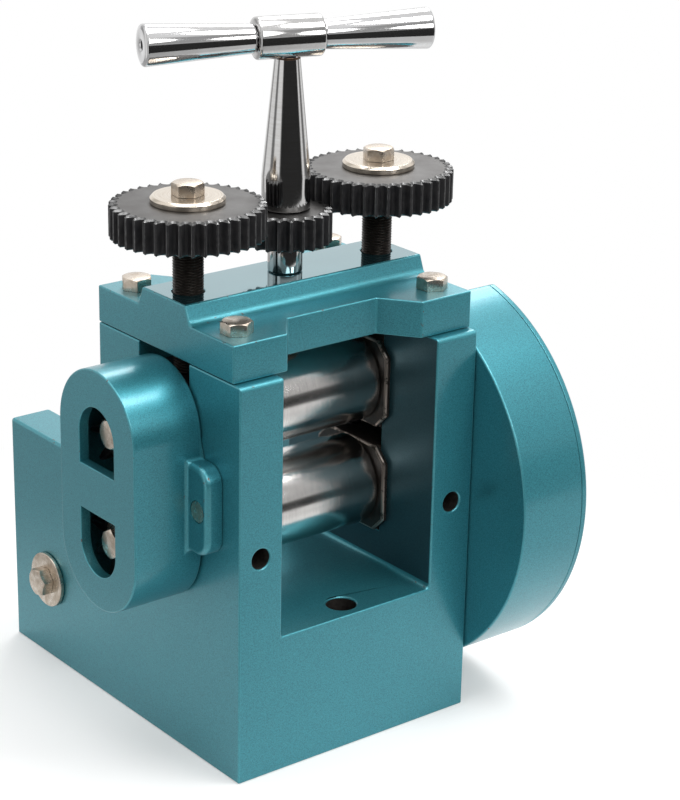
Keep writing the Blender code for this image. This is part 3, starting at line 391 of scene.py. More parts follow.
GRIP_CHROME = plain_metal("grip_chrome", (0.66, 0.66, 0.67), (0.58, 0.575, 0.57), 0.06, 0.04, 0.012, 0.02)
BRAZE = plain_metal("braze", (0.16, 0.10, 0.065), (0.05, 0.032, 0.025), 0.32, size=0.002, depth=0.2)
SPRING_STEEL = plain_metal("spring_steel", (0.07, 0.07, 0.075), (0.03, 0.028, 0.026), 0.16)
BOLT_NICKEL = plain_metal("bolt_nickel", (0.72, 0.65, 0.57), (0.46, 0.38, 0.30), 0.22, 0.14, 0.003, 0.08)
GEAR_SIDE = plain_metal("black_oxide", (0.012, 0.012, 0.014), (0.024, 0.023, 0.024), 0.42, 0.14, 0.003, 0.1, 0.3)
GEAR_FACE = plain_metal("black_oxide_ground", (0.10, 0.098, 0.096), (0.065, 0.062, 0.06), 0.4, 0.06, 0.012, 0.03)
# lighter grey for chamfers and tooth tips: a painted highlight
GEAR_HIGHLIGHT_GREY = plain_metal("black_oxide_rubbed", (0.20, 0.20, 0.20), (0.05, 0.05, 0.05), 0.32, 0.1, 0.0025, 0.1)
THREAD_BLACK = plain_metal("thread_black", (0.055, 0.046, 0.04), (0.02, 0.017, 0.015), 0.34, 0.2, 0.002, 0.2, 0.8)
HOLE_DARK = plain_metal("drilled_iron", (0.05, 0.045, 0.04), (0.02, 0.017, 0.015), 0.5, 0.1, 0.002, 0.2, 0.6)

# %% Black iron of the blocks, with rubbed edges
look = Finish("black_iron", metallic=0.5)
haze = look.effect(HAZE, Cloud_size=0.003, Depth=0.25)
colour = look.blend(haze["Haze"], (0.012, 0.010, 0.009), (0.03, 0.024, 0.02))
BLACK_IRON = look.finish(colour, look.between(haze["Haze"], 0.0, 1.0, 0.34, 0.5), haze["Normal"])

look = Finish("black_iron_edge", metallic=0.8)
bare = look.effect(WEAR, Patch_size=0.005, Share=0.7)["Bare"]
haze = look.effect(HAZE, Cloud_size=0.002, Depth=0.2)
colour = look.blend(bare, (0.045, 0.038, 0.032), (0.24, 0.205, 0.18))
BLACK_IRON_EDGE = look.finish(colour, look.between(bare, 0.0, 1.0, 0.45, 0.3), haze["Normal"])
print(len(bpy.data.materials), "materials")

# %% [markdown]
# ## Shapes from outlines
# Nearly every piece here is a flat outline pushed along a line, or a profile turned round one. Both are
# written as short lists of points. Corners of a profile are eased with a small arc, since no real edge is
# sharp and an arc is what catches a highlight.


# %% Mesh helpers
def object_from(name, mesh, *finishes):
    obj = bpy.data.objects.new(name, mesh)
    bpy.context.scene.collection.objects.link(obj)
    for finish in finishes:
        mesh.materials.append(finish)
    return obj


def mesh_from(bm, name, place=None):
    bmesh.ops.recalc_face_normals(bm, faces=bm.faces)
    if place:
        bm.transform(place)
    mesh = bpy.data.meshes.new(name)
    bm.to_mesh(mesh)
    bm.free()
    return mesh


def prism(name, outline, low, high, place=None, *finishes):
    """A flat outline from low to high along its local Z."""
    bm = bmesh.new()
    bottom = [bm.verts.new((u, v, low)) for u, v in outline]
    top = [bm.verts.new((u, v, high)) for u, v in outline]
    bm.faces.new(bottom)
    bm.faces.new(top)
    for i in range(len(outline)):
        bm.faces.new((bottom[i - 1], bottom[i], top[i], top[i - 1]))
    return object_from(name, mesh_from(bm, name, place), *finishes)


def eased(profile, steps=3, loop=False):
    """A profile whose points may carry a third number, the radius of the arc that eases that corner."""
    out = []
    count = len(profile)
    for i, point in enumerate(profile):
        here = Vector(point[:2])
        radius = point[2] if len(point) > 2 else 0
        if not radius or (not loop and i in (0, count - 1)):
            out.append(tuple(here))
            continue
        before, after = (Vector(profile[(i + way) % count][:2]) - here for way in (-1, 1))
        corner = before.angle(after)
        reach = min(radius / tan(corner / 2), before.length * 0.49, after.length * 0.49)
        start, end = here + before.normalized() * reach, here + after.normalized() * reach
        for k in range(steps + 1):
            t = k / steps
            out.append(tuple((1 - t) ** 2 * start + 2 * t * (1 - t) * here + t * t * end))
    return out


def turned(name, profile, place=None, *finishes, steps=64, ring=False):
    """A profile of (radius, height) turned round its local Z; a ring's profile closes on itself."""
    bm = bmesh.new()
    turns = [2 * pi * i / steps for i in range(steps)]
    rows = []
    for radius, height in eased(profile, loop=ring):
        if radius < 1e-7:
            rows.append([bm.verts.new((0, 0, height))] * steps)
        else:
            rows.append([bm.verts.new((radius * cos(t), radius * sin(t), height)) for t in turns])
    for lower, upper in zip(rows, rows[1:] + (rows[:1] if ring else [])):
        for i in range(steps):
            corners = []
            for vert in (lower[i - 1], lower[i], upper[i], upper[i - 1]):
                if vert not in corners:
                    corners.append(vert)
            if len(corners) > 2:
                bm.faces.new(corners)
    return object_from(name, mesh_from(bm, name, place), *finishes)


def solid_turned(name, profile, place=None, *finishes, steps=64):
    return turned(name, [(0, profile[0][1]), *profile, (0, profile[-1][1])], place, *finishes, steps=steps)


def arc(radius, centre, start, end, steps):
    turns = [radians(start + (end - start) * i / steps) for i in range(steps + 1)]
    return [(centre[0] + radius * cos(t), centre[1] + radius * sin(t)) for t in turns]


def circle(radius, centre=(0, 0), steps=48):
    return arc(radius, centre, 0, 360 - 360 / steps, steps - 1)


def six_sided(radius, twist=0.0):
    return [(radius * cos(twist + k * pi / 3), radius * sin(twist + k * pi / 3)) for k in range(6)]


def mirrored(outline):
    return [(-u, v) for u, v in reversed(outline)]


# %% Modifiers are applied as soon as they are added
def settle(obj):
    """Makes what the modifiers show the object's own mesh."""
    seen = obj.evaluated_get(bpy.context.evaluated_depsgraph_get())
    mesh = bpy.data.meshes.new_from_object(seen)
    obj.modifiers.clear()
    spent, obj.data = obj.data, mesh
    bpy.data.meshes.remove(spent)
    return obj


def shape_with(target, operation, *tools):
    """Joins tools to a target or cuts them from it, one after another."""
    for tool in tools:
        modifier = target.modifiers.new("shape", "BOOLEAN")
        modifier.operation = operation
        modifier.object = tool
        modifier.solver = "EXACT"
        settle(target)
        bpy.data.objects.remove(tool, do_unlink=True)
    return target


def drill(target, *holes, steps=40):
    """Cuts holes: each is (place, radius, low, high) along the place's local Z."""
    tools = [prism("drill", circle(radius, steps=steps), low, high, place) for place, radius, low, high in holes]
    return shape_with(target, "DIFFERENCE", *tools)


def shade(obj, angle=30):
    """Smooth shading that breaks at real corners."""
    obj.data.polygons.foreach_set("use_smooth", [True] * len(obj.data.polygons))
    obj.data.set_sharp_from_angle(angle=radians(angle))
    obj.data.update()
    return obj


# %% [markdown]
# ## Rounded edges of a casting
# A sand casting has no two edges alike: outer edges are soft, machined ones nearly sharp, and where a rib
# meets a face the mould leaves a cove. A Bevel modifier reads one weight for each edge, so a rule that is
# given the middle and the direction of an edge can name its radius. The faces that the bevel makes get the
# second material, which shows wear and, on the paint, a painted highlight.


# %% Rounding by rule
def round_edges(obj, rule, cuts=(), steps=3, least_angle=25):
    """Rounds each edge by rule(middle, direction, convex), a radius in metres.

    Every cut is a plane (axis, value) through the middle of a hole, which leaves no face with a hole in it."""
    bm = bmesh.new()
    bm.from_mesh(obj.data)
    bmesh.ops.remove_doubles(bm, verts=bm.verts, dist=2e-6)
    for axis, value in cuts:
        across = Vector([float(axis == letter) for letter in "XYZ"])
        everything = bm.verts[:] + bm.edges[:] + bm.faces[:]
        made = bmesh.ops.bisect_plane(bm, geom=everything, dist=2e-6, plane_co=across * value, plane_no=across)
        for item in made["geom_cut"]:
            if isinstance(item, bmesh.types.BMEdge):
                item.seam = True
    bmesh.ops.remove_doubles(bm, verts=bm.verts, dist=2e-5)
    bmesh.ops.dissolve_limit(bm, angle_limit=radians(0.4), verts=bm.verts, edges=bm.edges, delimit={"SEAM"})
    weights = bm.edges.layers.float.get("bevel_weight_edge") or bm.edges.layers.float.new("bevel_weight_edge")
    found = {}
    for edge in bm.edges:
        if len(edge.link_faces) == 2 and edge.calc_face_angle(0) > radians(least_angle):
            a, b = (vert.co for vert in edge.verts)
            found[edge] = rule((a + b) / 2, (b - a).normalized(), edge.is_convex)
    widest = max(found.values())
    for edge, radius in found.items():
        edge[weights] = radius / widest
    bm.to_mesh(obj.data)
    bm.free()
    bevel = obj.modifiers.new("rounding", "BEVEL")
    bevel.limit_method = "WEIGHT"
    bevel.width = widest
    bevel.segments = steps
    bevel.use_clamp_overlap = False
    bevel.material = 1 if len(obj.data.materials) > 1 else -1
    settle(obj)
    shade(obj, 38)
    normals = obj.modifiers.new("faces keep flat", "WEIGHTED_NORMAL")
    normals.keep_sharp = True
    normals.weight = 80
    return settle(obj)


def paint_faces(obj, finish, rule):
    """Gives a finish to the faces that rule(centre, normal) names."""
    obj.data.materials.append(finish)
    index = len(obj.data.materials) - 1
    for face in obj.data.polygons:
        if rule(face.center, face.normal):
            face.material_index = index


PIECES = []


def keep(obj, body, slot, *nodes):
    """Records a finished piece: it rides on a body, and stands for the nodes it was built to replace."""
    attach(obj, body)
    if nodes:
        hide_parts(*nodes)
    PIECES.append(obj)
    return obj


# %% [markdown]
# ## The frame
# Two slotted cheeks stand on a bridge, with a leg behind each cheek and a heavy apron in front, all one iron
# casting. The outline of a cheek is pushed along X, and the bridge and legs are joined to it. Then the holes
# are drilled: the bench bolt's, two guide holes in the front, and those for shafts and bolts.

# %% Frame casting
SLOT_HALF = 0.019
SLOT_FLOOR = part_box("lower_block_left")[0].z - GAP
REAR_Y = 0.051
FLOOR_TOP = 0.0654
FLOOR_UNDER = 0.0454
APRON_Y = 0.010
LEG_X = 0.0435
LEG_TOP = 0.1146
LEG_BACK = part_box("frame_casting")[1].y
GUIDE = (0.0536, FRONT_Y, 0.1055)
BENCH_Y = -0.0445
TIE = middle("rear_tie_rod")
LUG_SCREW = middle("cover_screw_rear")
CAP_BOLT = middle("cap_bolt_right_rear")
CAP_BOLT_YS = (-CAP_BOLT.y, CAP_BOLT.y)
PAN_SCREWS = ((-0.037, 0.1366), (0.037, 0.0686))
PAN_SCREW_ZS = [z for _, z in PAN_SCREWS]
BOLT_HOLE, SCREW_HOLE, BUSH_HOLE = 0.0043, 0.0033, 0.0107
AT_DRIVE, AT_TIE = (along("X", (0, spot.y, spot.z)) for spot in (DRIVE, TIE))
OVER = 0.001  # how far a cutter or a joined part runs past the face it starts from


def frame_rounding(spot, way, convex):
    if not convex:
        return 0.0022 if abs(spot.z - FLOOR_TOP) < 0.001 and abs(way.y) > 0.9 else 0.0003
    if spot.z > CHEEK_TOP - 0.002 and spot.y < FRONT_Y + 0.002 and abs(way.x) > 0.9:
        return 0.0021
    if abs(spot.y) < SLOT_HALF + 0.001 and spot.z > SLOT_FLOOR - 0.001:
        return 0.0004
    if spot.z < 0.001:
        return 0.0006
    if spot.y > REAR_Y + 0.001:
        return 0.0015
    return 0.0008


def mill_frame():
    cheek = [
        (FRONT_Y, 0), (REAR_Y, 0), (REAR_Y, CHEEK_TOP), (SLOT_HALF, CHEEK_TOP), (SLOT_HALF, SLOT_FLOOR),
        (-SLOT_HALF, SLOT_FLOOR), (-SLOT_HALF, CHEEK_TOP), (FRONT_Y, CHEEK_TOP),
    ]
    bridge = [
        (FRONT_Y, 0), (APRON_Y, 0), (APRON_Y, FLOOR_UNDER), (REAR_Y, FLOOR_UNDER), (REAR_Y, FLOOR_TOP),
        (FRONT_Y, FLOOR_TOP),
    ]
    leg = [(REAR_Y - OVER, 0), (LEG_BACK, 0), (LEG_BACK, LEG_TOP), (REAR_Y - OVER, LEG_TOP)]
    casting = prism("mill_frame", bridge, -CHEEK_X - OVER, CHEEK_X + OVER, along("X"), TEAL, TEAL_EDGE)
    shape_with(casting, "UNION", *(
        prism(name, outline, *sorted((way * inner, way * SIDE_X)), along("X"))
        for name, outline, inner in (("cheek", cheek, CHEEK_X), ("leg", leg, LEG_X)) for _, way in SIDES))
    holes = [(along("Z", (0, BENCH_Y, 0)), 0.0069, -OVER, FLOOR_TOP + OVER),
             (AT_DRIVE, BUSH_HOLE, LEG_X - OVER, SIDE_X + OVER)]
    for _, way in SIDES:
        low, high = sorted((way * (LEG_X - OVER), way * (SIDE_X + OVER)))
        holes.append((along("Y", (way * GUIDE[0], FRONT_Y, GUIDE[2])), 0.00475, -OVER, 0.014))
        holes.append((AT_TIE, BOLT_HOLE, low, high))
        holes += [(along("Z", (way * CAP_BOLT.x, y, CHEEK_TOP)), BOLT_HOLE, -0.019, OVER) for y in CAP_BOLT_YS]
    holes += [(along("X", (-SIDE_X, way * LUG_SCREW.y, LUG_SCREW.z)), SCREW_HOLE, -OVER, 0.013) for way in (-1, 1)]
    holes += [(along("X", (SIDE_X, y, z)), SCREW_HOLE, -0.013, OVER) for y, z in PAN_SCREWS]
    drill(casting, *holes)
    cuts = [("X", 0)] + [("Y", y) for y in (BENCH_Y, CAP_BOLT.y, -CAP_BOLT.y)]
    cuts += [("Z", z) for z in (DRIVE.z, TIE.z, GUIDE[2], LUG_SCREW.z, *PAN_SCREW_ZS)]
    round_edges(casting, frame_rounding, cuts)
    drilled = [Vector((way * GUIDE[0], 0, GUIDE[2])) for _, way in SIDES]

    def in_a_guide_hole(spot, normal):
        near = min(hypot(spot.x - c.x, spot.z - c.z) for c in drilled)
        return near < 0.0049 and FRONT_Y + 0.0008 < spot.y < FRONT_Y + 0.0155

    # the walls inside the guide holes and the bench bolt's hole are given a near-black metal
    paint_faces(casting, HOLE_DARK, in_a_guide_hole)
    paint_faces(casting, HOLE_DARK, lambda spot, normal: (
        hypot(spot.x, spot.y - BENCH_Y) < 0.0071 and spot.z < FLOOR_TOP - 0.0012))
    # the walls inside the window get the dark teal, painted shade
    paint_faces(casting, TEAL_PAINTED_SHADE, lambda spot, normal: (
        abs(normal.x) > 0.99 and abs(abs(spot.x) - CHEEK_X) < 0.0002 and spot.z > FLOOR_TOP))
    return casting


keep(mill_frame(), "root", "teal_paint", "frame_casting")
print("frame:", len(PIECES[-1].data.polygons), "faces")

# %% [markdown]
# ## The cap
# The cap bolts down on the cheeks. Its corners are lobes for the bolts, a slanted recess opens each long
# side, and a ridge carries the thread of the two screws. The foot of the ridge is a cove.

# %% Cap
LEDGE_Z = 0.2024
RIDGE_FOOT, RIDGE_TOP = 0.01925, 0.01595
CAP_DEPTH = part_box("top_cap")[1].y


def cap_rounding(spot, way, convex):
    if not convex:
        return 0.0028 if abs(way.x) > 0.9 and abs(spot.z - LEDGE_Z) < 0.0004 else 0.0006
    if spot.z > RIDGE_Z - 0.0005:
        on_a_hole = abs(way.z) < 0.2 and abs(spot.y) < RIDGE_TOP - 0.001 and abs(spot.x) < SIDE_X - 0.001
        return 0.0005 if on_a_hole else 0.0008
    return 0.0007


def mill_cap():
    corner = [(SIDE_X, CAP_DEPTH), (0.0369, CAP_DEPTH), (0.0244, CAP_DEPTH - 0.0165)]
    back = corner + mirrored(corner)
    plan = back + [(u, -v) for u, v in reversed(back)]
    cap = prism("mill_cap", plan, CAP_Z, LEDGE_Z, None, TEAL, TEAL_EDGE)
    ridge = [(RIDGE_FOOT, LEDGE_Z - 0.001), (RIDGE_FOOT, LEDGE_Z), (RIDGE_TOP, RIDGE_Z)]
    shape_with(cap, "UNION", prism("ridge", ridge + mirrored(ridge), -SIDE_X, SIDE_X, along("X")))
    low, high = CAP_Z - OVER, RIDGE_Z + OVER
    holes = [(along("Z"), 0.0097, low, RIDGE_Z - 0.0012), (along("Z"), 0.0064, low, high)]
    for _, way in SIDES:
        holes.append((along("Z", (way * SCREW_X, 0, 0)), 0.0071, low, high))
        holes += [(along("Z", (way * CAP_BOLT.x, y, 0)), BOLT_HOLE, low, high) for y in CAP_BOLT_YS]
    drill(cap, *holes)
    round_edges(cap, cap_rounding, [("Y", 0), ("Y", CAP_BOLT.y), ("Y", -CAP_BOLT.y)])
    paint_faces(cap, TEAL_MIRROR, lambda spot, normal: spot.z > RIDGE_Z - 1e-5 and normal.z > 0.99)
    return cap


keep(mill_cap(), "root", "teal_paint", "top_cap")
print("cap:", len(PIECES[-1].data.polygons), "faces")

# %% [markdown]
# ## The cover over the roll gears
# A shell with straight sides and round ends stands on the left cheek. Two D-shaped windows in its face leave
# the gear bolts in reach, and an ear on each side takes a screw. The shell is cast, so its ears blend into it
# with a soft cove and their outer edges are round.

# %% Gear cover
COVER_X0, COVER_X1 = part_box("side_cover")[1].x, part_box("side_cover")[0].x
COVER_TOP = UPPER_Z + 0.0012
COVER_R, COVER_BORE, WINDOW_R = 0.0291, 0.0272, 0.0134
EAR_LOW, EAR_HIGH = 0.105, 0.146
EAR_X = COVER_X0 - 0.008
EAR_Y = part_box("side_cover")[1].y


def is_outside(spot):
    z = min(max(spot.z, LOWER_Z), COVER_TOP)
    return hypot(spot.y, spot.z - z) > COVER_R - 0.0004


def cover_rounding(spot, way, convex):
    in_window = abs(spot.y) < 0.0137 and spot.x < COVER_X1 + 0.0052 and not is_outside(spot)
    on_ear = abs(spot.y) > COVER_R - 0.0012 and EAR_LOW - 0.001 < spot.z < EAR_HIGH + 0.001 and spot.x > EAR_X - 0.001
    if not convex:
        return 0.0016 if on_ear and abs(spot.y) < COVER_R + 0.001 and spot.x < COVER_X0 - 0.001 else 0.0
    if in_window:
        return 0.0004
    if on_ear:
        if hypot(abs(spot.y) - LUG_SCREW.y, spot.z - LUG_SCREW.z) < 0.006:
            return 0.0
        return 0.0024 if abs(spot.x - EAR_X) < 0.0005 else 0.0
    if spot.x < COVER_X1 + 0.001:
        return 0.0007
    return 0.0015 if is_outside(spot) else 0.0


def gear_cover():
    def pill(radius, steps=40):
        return arc(radius, (0, COVER_TOP), 0, 180, steps) + arc(radius, (0, LOWER_Z), 180, 360, steps)

    sill = 0.0151
    upper = arc(WINDOW_R, (0, UPPER_Z), 0, 180, 30) + [(side, UPPER_Z - sill) for side in (-WINDOW_R, WINDOW_R)]
    lower = arc(WINDOW_R, (0, LOWER_Z), 180, 360, 30) + [(side, LOWER_Z + sill) for side in (WINDOW_R, -WINDOW_R)]
    cover = prism("gear_cover", pill(COVER_R), COVER_X1, COVER_X0, along("X"), TEAL, TEAL_EDGE)
    bend = 0.008
    ear = [(COVER_R - OVER, EAR_LOW)]
    ear += arc(bend, (EAR_Y - bend, EAR_LOW + bend), -90, 0, 8)
    ear += arc(bend, (EAR_Y - bend, EAR_HIGH - bend), 0, 90, 8)
    ear += [(COVER_R - OVER, EAR_HIGH)]
    shape_with(cover, "UNION", *(prism("ear", e, EAR_X, COVER_X0, along("X")) for e in (ear, mirrored(ear))))
    shape_with(
        cover, "DIFFERENCE", prism("hollow", pill(COVER_BORE), COVER_X1 + 0.005, COVER_X0 + OVER, along("X")),
        *(prism("window", w, COVER_X1 - OVER, COVER_X1 + 0.006, along("X")) for w in (upper, lower)),
    )
    ears = [along("X", (EAR_X, way * LUG_SCREW.y, LUG_SCREW.z)) for way in (-1, 1)]
    drill(cover, *((place, SCREW_HOLE, 0.001, 0.009) for place in ears))
    drill(cover, *((place, 0.0051, -0.001, 0.0043) for place in ears))
    round_edges(cover, cover_rounding, [("Y", 0), ("Z", LUG_SCREW.z)])
    return cover


keep(gear_cover(), "root", "teal_paint", "side_cover")
print("gear cover:", len(PIECES[-1].data.polygons), "faces")

# %% [markdown]
# ## The drum
# The reduction gear on the right cheek runs in a round pan with a lid. The pan is cut flat on its upper rear
# side, where there is no gear to clear. Its outline is an arc closed by that flat, pushed along X and hollowed
# out, and rounding the edges afterwards gives the soft rim. Six small screws hold the lid.

# %% Drum pan and lid
DRUM_X0, DRUM_X1 = span("drum_housing", "X")
LID_X0, LID_X1 = span("drum_cover", "X")
DRUM_R, DRUM_BORE, DRUM_FLOOR, DRUM_FLAT = 0.0922, 0.0882, DRUM_X0 + 0.004, 0.0664
LID_RING = 0.0837
LID_TURNS = [radians(turn) for turn in (14, 112, 167, 222, 277, 332)]
LID_SPOTS = [(LID_RING * cos(turn), LOWER_Z + LID_RING * sin(turn)) for turn in LID_TURNS]
DRUM_AXIS = along("X", (0, 0, LOWER_Z))
FLAT_TURN = 61  # degrees from the rear, upwards, to the middle of the flat


def drum_outline(radius, flat, steps=150):
    half = acos(flat / radius) * 180 / pi
    return arc(radius, (0, LOWER_Z), FLAT_TURN + half, FLAT_TURN + 360 - half, steps)


def drum_rounding(spot, way, convex):
    y, z = spot.y, spot.z - LOWER_Z
    turn = radians(FLAT_TURN)
    on_rim = hypot(y, z) > DRUM_R - 0.0005 or y * cos(turn) + z * sin(turn) > DRUM_FLAT - 0.0005
    if not convex or not on_rim:
        return 0.0
    if abs(way.x) > 0.9:
        return 0.0012
    return 0.0003 if DRUM_X0 + 0.001 < spot.x < LID_X1 - 0.001 else 0.0009


def on_lid(radius, low, high):
    return [(along("X", (0, *spot)), radius, low, high) for spot in LID_SPOTS]


along_x = along("X")
drum_pan = prism("drum_pan", drum_outline(DRUM_R, DRUM_FLAT), DRUM_X0, DRUM_X1, along_x, TEAL, TEAL_EDGE)
shape_with(drum_pan, "DIFFERENCE", prism(
    "hollow", drum_outline(DRUM_BORE, DRUM_FLAT - 0.004), DRUM_FLOOR, DRUM_X1 + OVER, along_x))
shape_with(drum_pan, "UNION", *(
    prism("boss", circle(0.005, spot), DRUM_FLOOR - OVER, DRUM_X1, along_x) for spot in LID_SPOTS))
through = DRUM_X0 - OVER, DRUM_FLOOR + OVER
drill(drum_pan, *on_lid(0.0023, DRUM_X1 - 0.0103, DRUM_X1 + OVER), (DRUM_AXIS, 0.0115, *through),
      (AT_DRIVE, 0.0085, *through), *((along("X", (0, y, z)), SCREW_HOLE, *through) for y, z in PAN_SCREWS))
lid_cuts = [("Y", y) if abs(y) < abs(z - LOWER_Z) else ("Z", z) for y, z in LID_SPOTS] + [("Z", DRIVE.z)]
round_edges(drum_pan, drum_rounding, lid_cuts + [("Z", z) for z in (LOWER_Z, *PAN_SCREW_ZS)])
keep(drum_pan, "root", "teal_paint", "drum_housing")

lid = prism("drum_lid", drum_outline(DRUM_R, DRUM_FLAT), LID_X0, LID_X1, along_x, TEAL, TEAL_EDGE)
drill(lid, *on_lid(0.0023, LID_X0 - OVER, LID_X1 + OVER), (AT_DRIVE, BUSH_HOLE, LID_X0 - OVER, LID_X1 + OVER))
round_edges(lid, drum_rounding, lid_cuts)
keep(lid, "root", "teal_paint", "drum_cover")
print("drum pan and lid:", len(drum_pan.data.polygons), len(lid.data.polygons), "faces")

# %% [markdown]
# ## Growing a piece from a node tree
# Gears, threads, springs and rows of screws follow a rule, so a geometry tree makes each kind once and its
# inputs give the sizes. The modifier's inputs are set by their identifiers before anything is evaluated, and
# the result is taken as a plain mesh, so no modifier is left.


# %% Run a tree and take its mesh
def grown(name, tree, values, place=None, points=()):
    start = bpy.data.meshes.new(name)
    start.from_pydata([tuple(point) for point in points], [], [])
    obj = object_from(name, start)
    modifier = obj.modifiers.new("rule", "NODES")
    modifier.node_group = tree
    for socket in tree.interface.items_tree:
        if socket.in_out == "INPUT" and socket.name in values:
            modifier[socket.identifier] = values[socket.name]
    settle(obj)
    bm = bmesh.new()
    bm.from_mesh(obj.data)
    bmesh.ops.recalc_face_normals(bm, faces=bm.faces)
    bm.to_mesh(obj.data)
    bm.free()
    if place:
        obj.data.transform(place)
    return obj


def table(graph, index, values):
    """One value per whole number, as a list is read."""
    node = graph.add("GeometryNodeIndexSwitch", data_type="FLOAT")
    while len(node.index_switch_items) < len(values):
        node.index_switch_items.new()
    graph.feed(node.inputs[0], index)
    for socket, value in zip(list(node.inputs)[1:], values):
        graph.feed(socket, value)
    return node.outputs[0]


def rows_and_columns(graph, columns, rows):
    """A flat grid to be rolled up, with the column and the row of each of its points."""
    grid = graph.add("GeometryNodeMeshGrid", 1.0, 1.0, columns, rows).outputs[0]
    index = graph.add("GeometryNodeInputIndex").outputs[0]
    column = graph.math("FLOOR", graph.over(index, rows))
    row = graph.minus(index, graph.times(column, rows))
    return grid, column, row


def rolled_up(graph, grid, radius, angle, height):
    """Puts the grid's points round the Z axis and closes the seam and the poles."""
    x = graph.times(radius, graph.math("COSINE", angle))
    y = graph.times(radius, graph.math("SINE", angle))
    spot = graph.add("ShaderNodeCombineXYZ", x, y, height).outputs[0]
    moved = graph.add("GeometryNodeSetPosition", grid, None, spot).outputs[0]
    merged = graph.add("GeometryNodeMergeByDistance", moved)
    merged.inputs["Distance"].default_value = 1e-6
    return graph.add("GeometryNodeRealizeInstances", merged.outputs[0]).outputs[0]


def finished(graph, geometry, finish, selection=None):
    node = graph.add("GeometryNodeSetMaterial", geometry)
    graph.feed(node.inputs["Selection"], selection)
    graph.feed(node.inputs["Material"], finish)
    return node.outputs[0]


# %% [markdown]
# ## Gears
# A gear is the same tooth over and over, so one tree makes all seven. A flat grid is rolled round the axis:
# its columns step through each tooth and its rows go once round the section, from the bore over the faces and
# back. Tables give the width and the radius of the tooth at each step. The roots are round, and the ends of
# the teeth have a small chamfer. The cut sides stay black and the ground faces are grey; the chamfers and
# the tooth tips are painted lighter, a painted highlight.

# %% The gear's tree
STEPS, GEAR_ROWS = 13, 7
gear, given, result = new_group(
    "spur_gear", "GeometryNodeTree",
    [("Teeth", "Int", 24), ("Root radius", "Float", 0.018), ("Tip radius", "Float", 0.0207),
     ("Foot share", "Float", 0.6), ("Tip share", "Float", 0.21), ("Turn", "Float", 0.0),
     ("Bore radius", "Float", 0.006), ("Low", "Float", 0.0), ("High", "Float", 0.015), ("Edge", "Float", 0.0005),
     ("Gullet", "Float", 0.0004), ("Side finish", "Material", None), ("Face finish", "Material", None),
     ("Edge highlight finish", "Material", None)],
    [("Gear", "Geometry")],
)
teeth, root, tip, turn = (given[name] for name in ("Teeth", "Root radius", "Tip radius", "Turn"))
low, high, edge, bore = (given[name] for name in ("Low", "High", "Edge", "Bore radius"))
grid, column, row = rows_and_columns(gear, gear.times_plus(teeth, STEPS, 1), GEAR_ROWS)
tooth = gear.math("FLOOR", gear.over(column, STEPS))
step = gear.minus(gear.minus(column, gear.times(tooth, STEPS)), 6.5)
spot = gear.math("FLOOR", gear.math("ABSOLUTE", step))
half_foot = gear.times(given["Foot share"], 0.5)
half_tip = gear.times(given["Tip share"], 0.5)


def up_the_flank(share, foot, top):
    return gear.times_plus(gear.minus(top, foot), share, foot)


width = table(gear, spot, [
    gear.times(half_tip, 0.62), *(up_the_flank(t, half_foot, half_tip) for t in (0.95, 0.67, 0.34)),
    half_foot, gear.times_plus(half_foot, 0.5, 0.25), 0.5,
])
radius = table(gear, spot, [
    tip, *(up_the_flank(t, root, tip) for t in (0.95, 0.67, 0.34)), root,
    gear.times_plus(given["Gullet"], -0.75, root), gear.minus(root, given["Gullet"]),
])
narrowing = table(gear, spot, [0.5, 0.9, 1.0, 1.0, 0.7, 0.2, 0.0])
at_chamfer = table(gear, row, [0, 1, 0, 0, 1, 0, 0])
at_bore = table(gear, row, [1, 0, 0, 0, 0, 1, 1])
height = table(gear, row, [low, low, gear.plus(low, edge), gear.minus(high, edge), high, high, low])
inset = gear.times(edge, at_chamfer)
shares = gear.over(gear.times(inset, teeth), gear.times(radius, 2 * pi))
width = gear.larger(gear.minus(width, gear.times(shares, narrowing)), 0.01)
share = gear.times_plus(width, gear.math("SIGN", step), tooth)
pitch = gear.over(2 * pi, teeth)
angle = gear.times_plus(share, pitch, turn)
outline = gear.minus(radius, inset)
from_bore = gear.times_plus(gear.minus(bore, outline), at_bore, outline)
solid = rolled_up(gear, grid, from_bore, angle, height)
here = gear.add("GeometryNodeInputPosition").outputs[0]
x, y, z = gear.add("ShaderNodeSeparateXYZ", here).outputs
normal = gear.add("GeometryNodeInputNormal").outputs[0]
tilt = gear.math("ABSOLUTE", gear.add("ShaderNodeSeparateXYZ", normal).outputs[2])
flat = gear.above(tilt, 0.96)
chamfered = gear.minus(gear.above(tilt, 0.15), flat)
distance = gear.distance(x, y)
turned_by = gear.over(gear.minus(gear.math("ARCTAN2", y, x), turn), pitch)
off_middle = gear.math("ABSOLUTE", gear.minus(turned_by, gear.math("ROUND", turned_by)))
tip_highlight = gear.times(gear.above(distance, up_the_flank(0.93, root, tip)),
                     gear.above(off_middle, gear.times(half_tip, 0.6)))
solid = finished(gear, solid, given["Side finish"])
# chamfers and tooth tips get the lighter finish: a painted highlight
solid = finished(gear, solid, given["Edge highlight finish"], gear.larger(chamfered, tip_highlight))
solid = finished(gear, solid, given["Face finish"], flat)
gear.feed(result[0], solid)
GEAR_TREE = gear.tree


def cut_gear(name, place, count, root_radius, tip_radius, foot, top, turn_by, bore_radius, low_end, high_end,
             end_chamfer=0.0005, gullet=0.0004):
    obj = grown(name, GEAR_TREE, {
        "Teeth": count, "Root radius": root_radius, "Tip radius": tip_radius, "Foot share": foot, "Tip share": top,
        "Turn": turn_by, "Bore radius": bore_radius, "Low": low_end, "High": high_end, "Edge": end_chamfer,
        "Gullet": gullet, "Side finish": GEAR_SIDE, "Face finish": GEAR_FACE, "Edge highlight finish": GEAR_HIGHLIGHT_GREY,
    }, place)
    return shade(obj, 32)


# %% Seven gears
def radii(centres, count, mate):
    """Root and tip radius from the distance to the mate's axis and both tooth counts."""
    module = 2 * centres / (count + mate)
    return centres - module * (mate / 2 + 0.75) - 0.00028, module * (count / 2 + 0.75)


